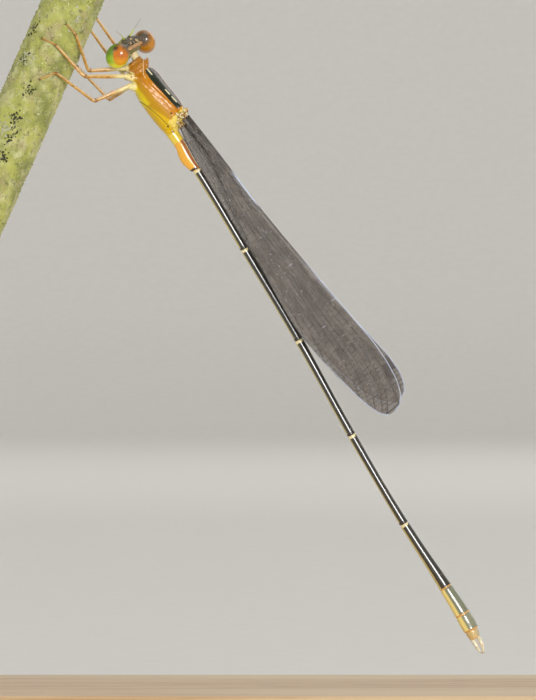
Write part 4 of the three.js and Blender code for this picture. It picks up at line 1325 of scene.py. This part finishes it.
def make_eye(name, side, material):
    lean = turn("X", side * EYE_LEAN)
    centre = np.array([0, side * EYE_OFFSET, 0])
    points, faces = ellipsoid((0, 0, 0), EYE_RADII, 128, 96, lean)
    directions = unit(points)
    mirror = np.array([1, side, 1])
    tall = unit(BODY_AXES @ np.array([0, 0, 1.0]) @ HEAD_AXES) * mirror
    world = from_head(points + centre)
    middle = from_head(centre)
    low = (middle[2] - world[:, 2]) / EYE_RADII[2]
    size = EYE_RADII.mean()
    right = side < 0

    def inside(direction, reach, slimness):
        """How far inside an oval patch round a direction each point is, in millimetres"""
        offset = directions - unit(direction * mirror)
        tallness = offset @ tall
        rest = np.linalg.norm(offset - tallness[:, None] * tall, axis=1)
        return size * (reach - np.hypot(rest, tallness * slimness))

    outer = size * (directions[:, 1] * side - 0.4) if right else np.full(len(points), 1.0)
    cap = np.minimum(inside(CAP_DIRECTION, CAP_REACH, 0.7), outer)
    values = {
        "low": low,
        "cap": cap,
        "crown": np.minimum(inside(CAP_DIRECTION, 0.28, 1.0), outer),
        "bright": np.minimum(cap, size * (low - 0.3)),
        "amber": np.minimum(-outer, 0.4 - 0.8 * np.clip(low - 0.6, 0, 1)),
        "inner": inside(INNER_DIRECTION, 0.74, 1.1),
        "dusk": inside(INNER_DIRECTION, 0.5, 1.2),
        "dark": inside(PATCH_DIRECTION, 0.33, 1.1),
    }
    make_piece(name + "_shell", (world, faces), material, [name], values)


def make_antenna(name, side, material):
    """Two thick joints at the root, then a thread"""
    direction = unit((0.25, 0.6 * side, 0.76))
    base = np.array([0.6, 0.24 * side, 0.36])
    path = curve_through([
        base,
        base + direction * ANTENNA_LENGTH * 0.5,
        base + direction * ANTENNA_LENGTH + np.array([0, 0.12 * side, 0]),
    ], 60)
    t = np.linspace(0, 1, 60)
    radii = np.interp(t, [0, 0.1, 0.12, 0.15, 0.34, 0.37, 0.4, 1],
                      [0.06, 0.065, 0.042, 0.05, 0.042, 0.024, 0.019, 0.009])
    shape, faces = tube(path, radii, 14)
    values = {"along": np.repeat(t, 14)}
    make_piece(name + "_wire", (from_head(shape), faces), material, [name], values)


# Wings

# Edges from the root to the tip: (share of the length, millimetres towards the leading edge)
FORE_LEADING = [(0, 0.17), (0.13, 0.24), (0.33, 0.27), (0.54, 0.5), (0.72, 0.76), (0.82, 0.88),
                (0.9, 0.75), (0.95, 0.5), (0.98, 0.14), (0.993, -0.18), (1, -0.6)]
FORE_TRAILING = [(0, -0.25), (0.13, -0.27), (0.27, -1.0), (0.4, -1.6), (0.55, -2.15), (0.655, -2.4),
                 (0.76, -2.3), (0.86, -2.05), (0.92, -1.84), (0.96, -1.6), (0.985, -1.34),
                 (1, -1.0)]
HIND_LEADING = [(0, 0.17), (0.13, 0.2), (0.33, 0.12), (0.54, 0.22), (0.72, 0.5), (0.82, 0.66),
                (0.9, 0.71), (0.95, 0.56), (0.98, 0.26), (0.993, -0.02), (1, -0.4)]
HIND_TRAILING = [(0, -0.3), (0.02, -0.44), (0.06, -0.64), (0.13, -0.9), (0.26, -1.32),
                 (0.39, -1.72), (0.55, -2.12), (0.65, -2.3), (0.76, -2.32), (0.86, -2.1),
                 (0.94, -1.7), (0.98, -1.2), (1, -0.8)]
WINGS = {
    "forewing": dict(root=(-2.1, 0.66), tip=(-24.28, 0.66), aside=1.1, shift=-0.18,
                     length=FOREWING_LENGTH, leading=FORE_LEADING, trailing=FORE_TRAILING),
    "hindwing": dict(root=(-2.42, 0.3), tip=(-23.9, 1.15), aside=0.34, shift=0.0,
                     length=HINDWING_LENGTH, leading=HIND_LEADING, trailing=HIND_TRAILING),
}
# Long veins: (share of the length, millimetres behind the leading edge), and their thickness
LONG_VEINS = [
    (1.0, [(0, 0.12), (0.13, 0.13), (0.3, 0.12), (0.345, 0.0)]),
    (1.35, [(0, 0.2), (0.13, 0.22), (0.34, 0.3), (0.6, 0.38), (0.88, 0.42), (0.96, 0.34),
            (0.99, 0.1)]),
    (0.9, [(0.25, 0.36), (0.34, 0.5), (0.5, 0.62), (0.7, 0.78), (0.9, 0.88), (1.0, 1.0)]),
    (0.7, [(0.56, 0.82), (0.62, 0.9), (0.8, 1.16), (0.95, 1.34), (1.0, 1.5)]),
    (0.9, [(0.31, 0.6), (0.45, 0.86), (0.6, 1.12), (0.8, 1.5), (0.95, 1.85), (1.0, 2.1)]),
    (0.7, [(0.5, 1.08), (0.6, 1.36), (0.75, 1.72), (0.9, 2.1), (1.0, 2.4)]),
    (1.0, [(0.13, 0.33), (0.26, 0.72), (0.4, 1.05), (0.6, 1.6), (0.78, 2.1), (0.95, 2.7)]),
    (0.7, [(0.46, 1.38), (0.6, 1.92), (0.72, 2.3), (0.85, 2.8)]),
    (1.0, [(0.11, 0.36), (0.2, 0.72), (0.32, 1.1), (0.45, 1.55), (0.6, 2.2), (0.72, 2.75),
           (0.8, 3.2)]),
    (0.7, [(0.4, 1.6), (0.5, 2.05), (0.6, 2.55), (0.68, 3.0)]),
    (0.6, [(0.02, 0.3), (0.06, 0.5), (0.12, 0.72), (0.2, 0.98), (0.3, 1.3)]),
    (0.5, [(0.04, 0.55), (0.08, 0.7), (0.14, 0.92), (0.2, 1.14)]),
    (0.5, [(0.02, 0.2), (0.08, 0.42), (0.15, 0.56), (0.22, 0.62)]),
]


class Wing:
    """The frame and outline of one wing: x to its tip, y to its leading edge, z outwards"""

    def __init__(self, kind, side):
        spec = WINGS[kind]
        self.name = kind + ("_left" if side > 0 else "_right")
        self.length = spec["length"]
        self.shift = spec["shift"]
        self.leading = smooth_profile(spec["leading"])
        self.trailing = smooth_profile(spec["trailing"])
        root = np.array([spec["root"][0], side * spec["aside"], spec["root"][1]])
        tip = np.array([spec["tip"][0], side * spec["aside"], spec["tip"][1]])
        along = unit(tip - root)
        self.origin = root
        self.axes = np.array([along, np.cross((0, 1, 0), along), (0, side, 0)])

    def width(self, t):
        return self.leading(t) - self.trailing(t)

    def place(self, t, behind):
        """The point at a share t of the length and a distance behind the leading edge"""
        t = np.asarray(t, float)
        behind = np.asarray(behind, float)
        fold = FOLD_HEIGHT * np.sin(behind * 2 * math.pi / FOLD_SPACING) * np.clip(t * 5, 0, 1)
        wave = WAVE_HEIGHT * np.sin(t * 7.0) * np.clip(t * 3, 0, 1)
        root = self.shift * np.maximum(0, 1 - t * 12) ** 2
        local = np.stack([t * self.length, self.leading(t) - behind, fold + wave + root], -1)
        return from_body(self.origin + local @ self.axes)


def vein_depth(wing, corners, t):
    """Distance of a long vein behind the leading edge, or nan where it isn't there"""
    positions = [corner[0] for corner in corners]
    depth = smooth_profile(corners)(t)
    there = (t >= positions[0]) & (t <= positions[-1]) & (depth <= wing.width(t) - 0.04)
    return np.where(there, depth, np.nan)


def strand(points, radius, sides=6):
    """One vein as a thin tube"""
    return tube(points, radius, sides, up=(0.0, -1.0, 0.0))


def make_wing(kind, side, materials):
    wing = Wing(kind, side)
    rng = np.random.default_rng(61 + len(wing.name) + (0 if side > 0 else 7))
    t = np.sin(np.linspace(0, math.pi / 2, 420))
    share = np.linspace(0, 1, 60)
    grid_t, grid_share = np.meshgrid(t, share, indexing="ij")
    behind = grid_share * wing.width(grid_t)
    points = wing.place(grid_t, behind).reshape(-1, 3)
    row = np.arange(len(t) - 1)[:, None] * len(share)
    column = np.arange(len(share) - 1)[None, :]
    here = row + column
    corners = [here, here + 1, here + 1 + len(share), here + len(share)]
    faces = np.stack(corners, -1).reshape(-1, 4).tolist()
    slant = grid_t + (behind - 0.2) * 0.012
    ends = np.minimum(slant - STIGMA[0], STIGMA[1] - slant) * wing.length
    stigma = np.minimum(ends, 0.38 - behind)
    values = {"stigma": stigma, "run": grid_t * wing.length, "behind": behind + side * 3.0}
    make_piece(wing.name + "_membrane", (points, faces), materials[0], [wing.name],
               {key: value.reshape(-1) for key, value in values.items()})
    make_veins(wing, materials[1], rng)


def edge_veins(wing, t):
    """The two edges of a wing, each with its radii and how much painted highlight it has at each
    point
    """
    front = RIM_RADIUS * np.interp(t, [0, 0.3, 0.6, 1], [1.4, 1.0, 0.62, 0.5])
    rear = np.interp(t, [0, 0.1, 0.5, 1], [0.045, 0.03, 0.024, 0.028])
    front_gleam = np.maximum(np.clip((t - 0.4) * 4, 0, 1), bell(t - 0.26, 0.07))
    rear_gleam = np.clip((t - 0.5) * 2, 0, 1)
    return [
        (wing.place(t, 0 * t), front, front_gleam),
        (wing.place(t, wing.width(t)), rear, rear_gleam),
    ]


def cross_veins(wing, curves, rng):
    """Short veins from each long vein to the next one behind it, a few of them in the painted
    highlight colour
    """
    for curve in curves[:-1]:
        at = 0.045 + 0.01 * rng.random()
        while at < 0.992:
            start = float(curve(np.float64(at)))
            spread = float(np.interp(at, [0, 0.4, 0.9], [2.2, 1.15, 0.72]))
            spacing = CELL_LENGTH * rng.uniform(0.8, 1.2) * spread
            later = at + rng.uniform(-0.0025, 0.0025)
            behind = [float(other(np.float64(later))) for other in curves]
            behind = [depth for depth in behind if depth > start + 0.05]
            if behind:
                end = min(behind)
                places = [at, (at + later) / 2, later]
                path = wing.place(places, [start, (start + end) / 2, end])
                pale = 1.0 if rng.random() < 0.04 and end - start < 0.4 else 0.0
                radius = CROSSVEIN_RADIUS * float(np.interp(at, [0, 0.5], [0.75, 1]))
                if at > 0.3 or end - start < 0.5:
                    yield path, radius, pale
            at += spacing / wing.length


def make_veins(wing, material, rng):
    """All veins of one wing as one piece, with a few specks on the membrane that carry the painted
    highlight
    """
    shapes = []
    painted_gleams = []
    t = np.sin(np.linspace(0, math.pi / 2, 200))
    for path, radii, gleam in edge_veins(wing, t):
        shapes.append(strand(path, radii, 8))
        painted_gleams += list(np.repeat(gleam, 8))
    curves = [lambda at: 0 * at]
    for thickness, corners in LONG_VEINS:
        depth = vein_depth(wing, corners, t)
        present = np.isfinite(depth)
        wander = 0.012 * np.sin(t[present] * 160 + len(shapes))
        path = wing.place(t[present], depth[present] + wander)
        if len(path) < 3:
            continue
        radii = VEIN_RADIUS * thickness * np.interp(t[present], [0, 1], [1.1, 0.75])
        shapes.append(strand(path, radii))
        painted_gleams += [0.0] * (len(path) * 6)
        curves.append(lambda at, corners=corners: vein_depth(wing, corners, at))
    curves.append(wing.width)
    for path, radius, pale in cross_veins(wing, curves, rng):
        shapes.append(strand(path, radius, 5))
        painted_gleams += [pale] * 15
    for _ in range(SPECKS):
        at = rng.uniform(0.1, 0.75)
        depth = rng.uniform(0.1, 0.8) * float(wing.width(at))
        shapes.append(ellipsoid(wing.place(at, depth), rng.uniform(0.018, 0.034, 3), 10, 8))
        painted_gleams += [1.0] * 80
    make_piece(wing.name + "_veins", merge(shapes), material, attributes={"rim": painted_gleams})


# Perch

def stem_surface(along, angle, radius):
    """Points of the stem by their distance along its axis, their angle and their radius"""
    right = np.multiply.outer(np.cos(angle), STEM_OUT)
    left = np.multiply.outer(np.sin(angle), STEM_LEFT)
    middle = STEM_POINT + np.multiply.outer(along, STEM_AXIS)
    return middle + np.asarray(radius)[..., None] * (right + left)


def make_stem():
    lowest = (STEM_BOTTOM - STEM_POINT[2]) / STEM_AXIS[2]
    highest = (STEM_TOP - STEM_POINT[2]) / STEM_AXIS[2]
    rows, columns = 340, 200
    angle = np.linspace(0, 2 * math.pi, columns, endpoint=False)
    along = np.linspace(lowest, highest, rows)
    radius = np.full(rows * columns, STEM_RADIUS)
    flat = stem_surface(np.repeat(along, columns), np.tile(angle, rows), radius)
    rough = lumps(flat, 1.4, 1.0) * 0.05 + lumps(flat, 0.42, 2.0) * 0.05
    rough = rough + lumps(flat, 0.17, 3.0) * 0.045
    out = unit(flat - STEM_POINT - np.outer((flat - STEM_POINT) @ STEM_AXIS, STEM_AXIS))
    sides = (flat + out * rough[:, None]).reshape(rows, columns, 3)
    foot = sides[0] + np.outer((STEM_BOTTOM - sides[0][:, 2]) / STEM_AXIS[2], STEM_AXIS)
    shares = np.linspace(0.02, 0.98, 24)
    rings = [foot * share + foot.mean(axis=0) * (1 - share) for share in shares]
    body = [ring for ring in sides if ring[:, 2].min() > STEM_BOTTOM + 0.02]
    top = body[-1]
    crown = [top * share + top.mean(axis=0) * (1 - share) for share in shares[::-1]]
    shape = loft(rings + [foot] + body + crown)
    cut = [1.0] * (24 * columns) + [0.0] * ((len(body) + 1) * columns) + [1.0] * (24 * columns)
    core = np.concatenate([np.repeat(1 - shares, columns),
                           np.zeros((len(body) + 1) * columns),
                           np.repeat(1 - shares[::-1], columns)])
    make_piece("perch_stem_bark", shape, stem_material(), ["perch_stem"],
               {"cut": cut, "pith": core - 0.2})
    make_granules(lowest, highest)


def crumb(rng, along, angle, size, flat):
    """One small lump that sits half sunk in the stem's surface"""
    radius = np.array([STEM_RADIUS + size * 0.25])
    centre = stem_surface(np.array([along]), np.array([angle]), radius)[0]
    outwards = STEM_OUT * math.cos(angle) + STEM_LEFT * math.sin(angle)
    frame_axes = np.array([STEM_AXIS, np.cross(outwards, STEM_AXIS), outwards]).T
    spin = turn("Z", rng.uniform(0, 360))
    radii = np.array([rng.uniform(0.8, 1.5), rng.uniform(0.8, 1.2), flat]) * size
    return ellipsoid(centre, radii, 9, 6, frame_axes @ spin)


# Places on the stem, by distance along its axis and angle: lichen also has its spread
LICHEN_PATCHES = [
    (-1.0, 1.0, 0.5), (-4.5, 2.3, 0.45), (-9.0, 1.9, 0.4), (1.8, 2.1, 0.35),
    (-6.5, -1.3, 0.6), (-12.0, -0.6, 0.5), (-3.0, 3.6, 0.5), (3.3, 0.35, 0.5),
]
SPECK_ROWS = [(-6.2, 1.64), (-8.1, 1.69), (-9.2, 1.59), (-10.6, 1.57), (-2.6, 2.5), (-4.6, 2.3)]


def make_granules(lowest, highest):
    rng = np.random.default_rng(71)
    shapes = []
    tint = []
    while len(shapes) < GRANULES:
        along = rng.uniform(lowest + 1.0, highest - 0.15)
        angle = rng.uniform(0, 2 * math.pi)
        clump = noise.noise(Vector((along * 0.8, angle * 1.5, 0.3)))
        density = 0.35 + 0.9 * clump + 0.03 * (along - lowest)
        if rng.random() > density:
            continue
        size = rng.uniform(0.02, 0.06)
        shapes.append(crumb(rng, along, angle, size, rng.uniform(0.5, 1.1)))
        tint += [min(1.0, max(0.0, rng.random() * 0.8 + 0.3 * clump))] * len(shapes[-1][0])
    make_piece("perch_moss", merge(shapes), granule_material(),
               attributes={"tint": tint})
    make_lichen(rng)


def make_lichen(rng):
    """Patches of lichen flakes, and rows of dark specks"""
    lichen = []
    for along, angle, spread in LICHEN_PATCHES:
        for _ in range(26):
            place = along + rng.normal(0, spread * 0.7)
            turned = angle + rng.normal(0, spread * 0.35)
            lichen.append(crumb(rng, place, turned, rng.uniform(0.04, 0.11), 0.4))
    make_piece("perch_lichen", merge(lichen), lichen_material())
    specks = []
    for along, angle in SPECK_ROWS:
        for _ in range(30):
            specks.append(crumb(rng, along + rng.normal(0, 0.26), angle + rng.normal(0, 0.09),
                                rng.uniform(0.03, 0.08), 0.35))
    make_piece("perch_specks", merge(specks), speck_material())


# Stand, floor, light and camera

def dress_stand():
    for name, material in (("stand_base", beech_material()), ("stand_rod", steel_material())):
        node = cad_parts[name]
        node.data.materials.clear()
        node.data.materials.append(material)


# Floor and backdrop in metres: radius of the flat part, of the curve's end and of the wall's top
FLOOR_FLAT = 1.5
FLOOR_CURVE = 2.4
FLOOR_WALL = 2.45
FLOOR_HEIGHT = 3.2


def make_floor():
    """A wide pale bowl: flat under the stand, rising far behind every side"""
    flat = np.linspace(0.001, FLOOR_FLAT, 12)
    radii = np.concatenate([flat, np.linspace(FLOOR_FLAT + 0.1, FLOOR_CURVE, 24)])
    angle = np.linspace(0, 2 * math.pi, 96, endpoint=False)
    rings = []
    for radius in radii:
        rise = max(0, radius - FLOOR_FLAT) ** 2 * 2.2
        rings.append([(radius * math.cos(a), radius * math.sin(a), rise) for a in angle])
    rings.append([(FLOOR_WALL * math.cos(a), FLOOR_WALL * math.sin(a), FLOOR_HEIGHT) for a in angle])
    points, faces = loft(rings)
    mesh = bpy.data.meshes.new("floor")
    mesh.from_pydata(points.tolist(), [], faces[:-1])
    mesh.materials.append(floor_material())
    mesh.shade_smooth()
    floor = bpy.data.objects.new("floor", mesh)
    bpy.context.scene.collection.objects.link(floor)
    floor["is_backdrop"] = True


def add_light(name, place, target, size, power, shade="#ffffff"):
    """A round soft light that faces a target"""
    data = bpy.data.lights.new(name, "AREA")
    data.shape = "DISK"
    data.size = size
    data.energy = power
    data.color = linear(shade)[:3]
    light = bpy.data.objects.new(name, data)
    light.location = place
    light.rotation_euler = (Vector(target) - Vector(place)).to_track_quat("-Z", "Y").to_euler()
    bpy.context.scene.collection.objects.link(light)


def add_lights():
    middle = (0.0, 0.0, 0.03)
    add_light("key", (0.19, -0.8, 0.13), middle, 0.3, 4.6)
    add_light("top", (0.1, 0.1, 1.1), middle, 1.0, 2.2)
    add_light("fill", (-0.9, -0.5, 0.5), middle, 0.8, 1.0)
    add_light("back", (0.5, 0.9, 0.6), middle, 0.8, 1.4)
    for number in range(4):
        angle = math.radians(45 + 90 * number)
        place = (0.7 * math.cos(angle), 0.7 * math.sin(angle), 1.0)
        outside = (2.2 * math.cos(angle), 2.2 * math.sin(angle), 0.5)
        add_light("backdrop_%d" % number, place, outside, 1.0, 3.5)
    world = bpy.data.worlds.new("studio")
    world.use_nodes = True
    background = world.node_tree.nodes["Background"]
    background.inputs["Color"].default_value = linear("#f8f8f6")
    background.inputs["Strength"].default_value = 0.4
    bpy.context.scene.world = world


def add_camera():
    data = bpy.data.cameras.new("camera")
    data.lens = CAMERA_LENS
    data.sensor_width = CAMERA_SENSOR
    data.clip_start = 0.01
    data.clip_end = 20
    camera = bpy.data.objects.new("camera", data)
    camera.location = np.array(CAMERA_PLACE) * MM
    camera.rotation_euler = (math.radians(90), 0, 0)
    bpy.context.scene.collection.objects.link(camera)
    bpy.context.scene.camera = camera
    bpy.context.scene.view_settings.view_transform = "Standard"


make_head()
EYE = eye_material()
make_eye("eye_left", 1, EYE)
make_eye("eye_right", -1, EYE)
FEELER = antenna_material()
make_antenna("antenna_left", 1, FEELER)
make_antenna("antenna_right", -1, FEELER)
make_thorax()
LEG = leg_material()
for leg_name in LEGS:
    make_leg(leg_name, LEG)
make_abdomen(abdomen_material())
make_claspers()
WING_MATERIALS = (membrane_material(), vein_material())
for wing_kind in WINGS:
    for wing_side in (1, -1):
        make_wing(wing_kind, wing_side, WING_MATERIALS)
make_stem()
dress_stand()
make_floor()
add_lights()
add_camera()

boxes = {"cad": cad_box, "visual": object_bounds()}
{key: [list(map(float, corner)) for corner in box] for key, box in boxes.items()}
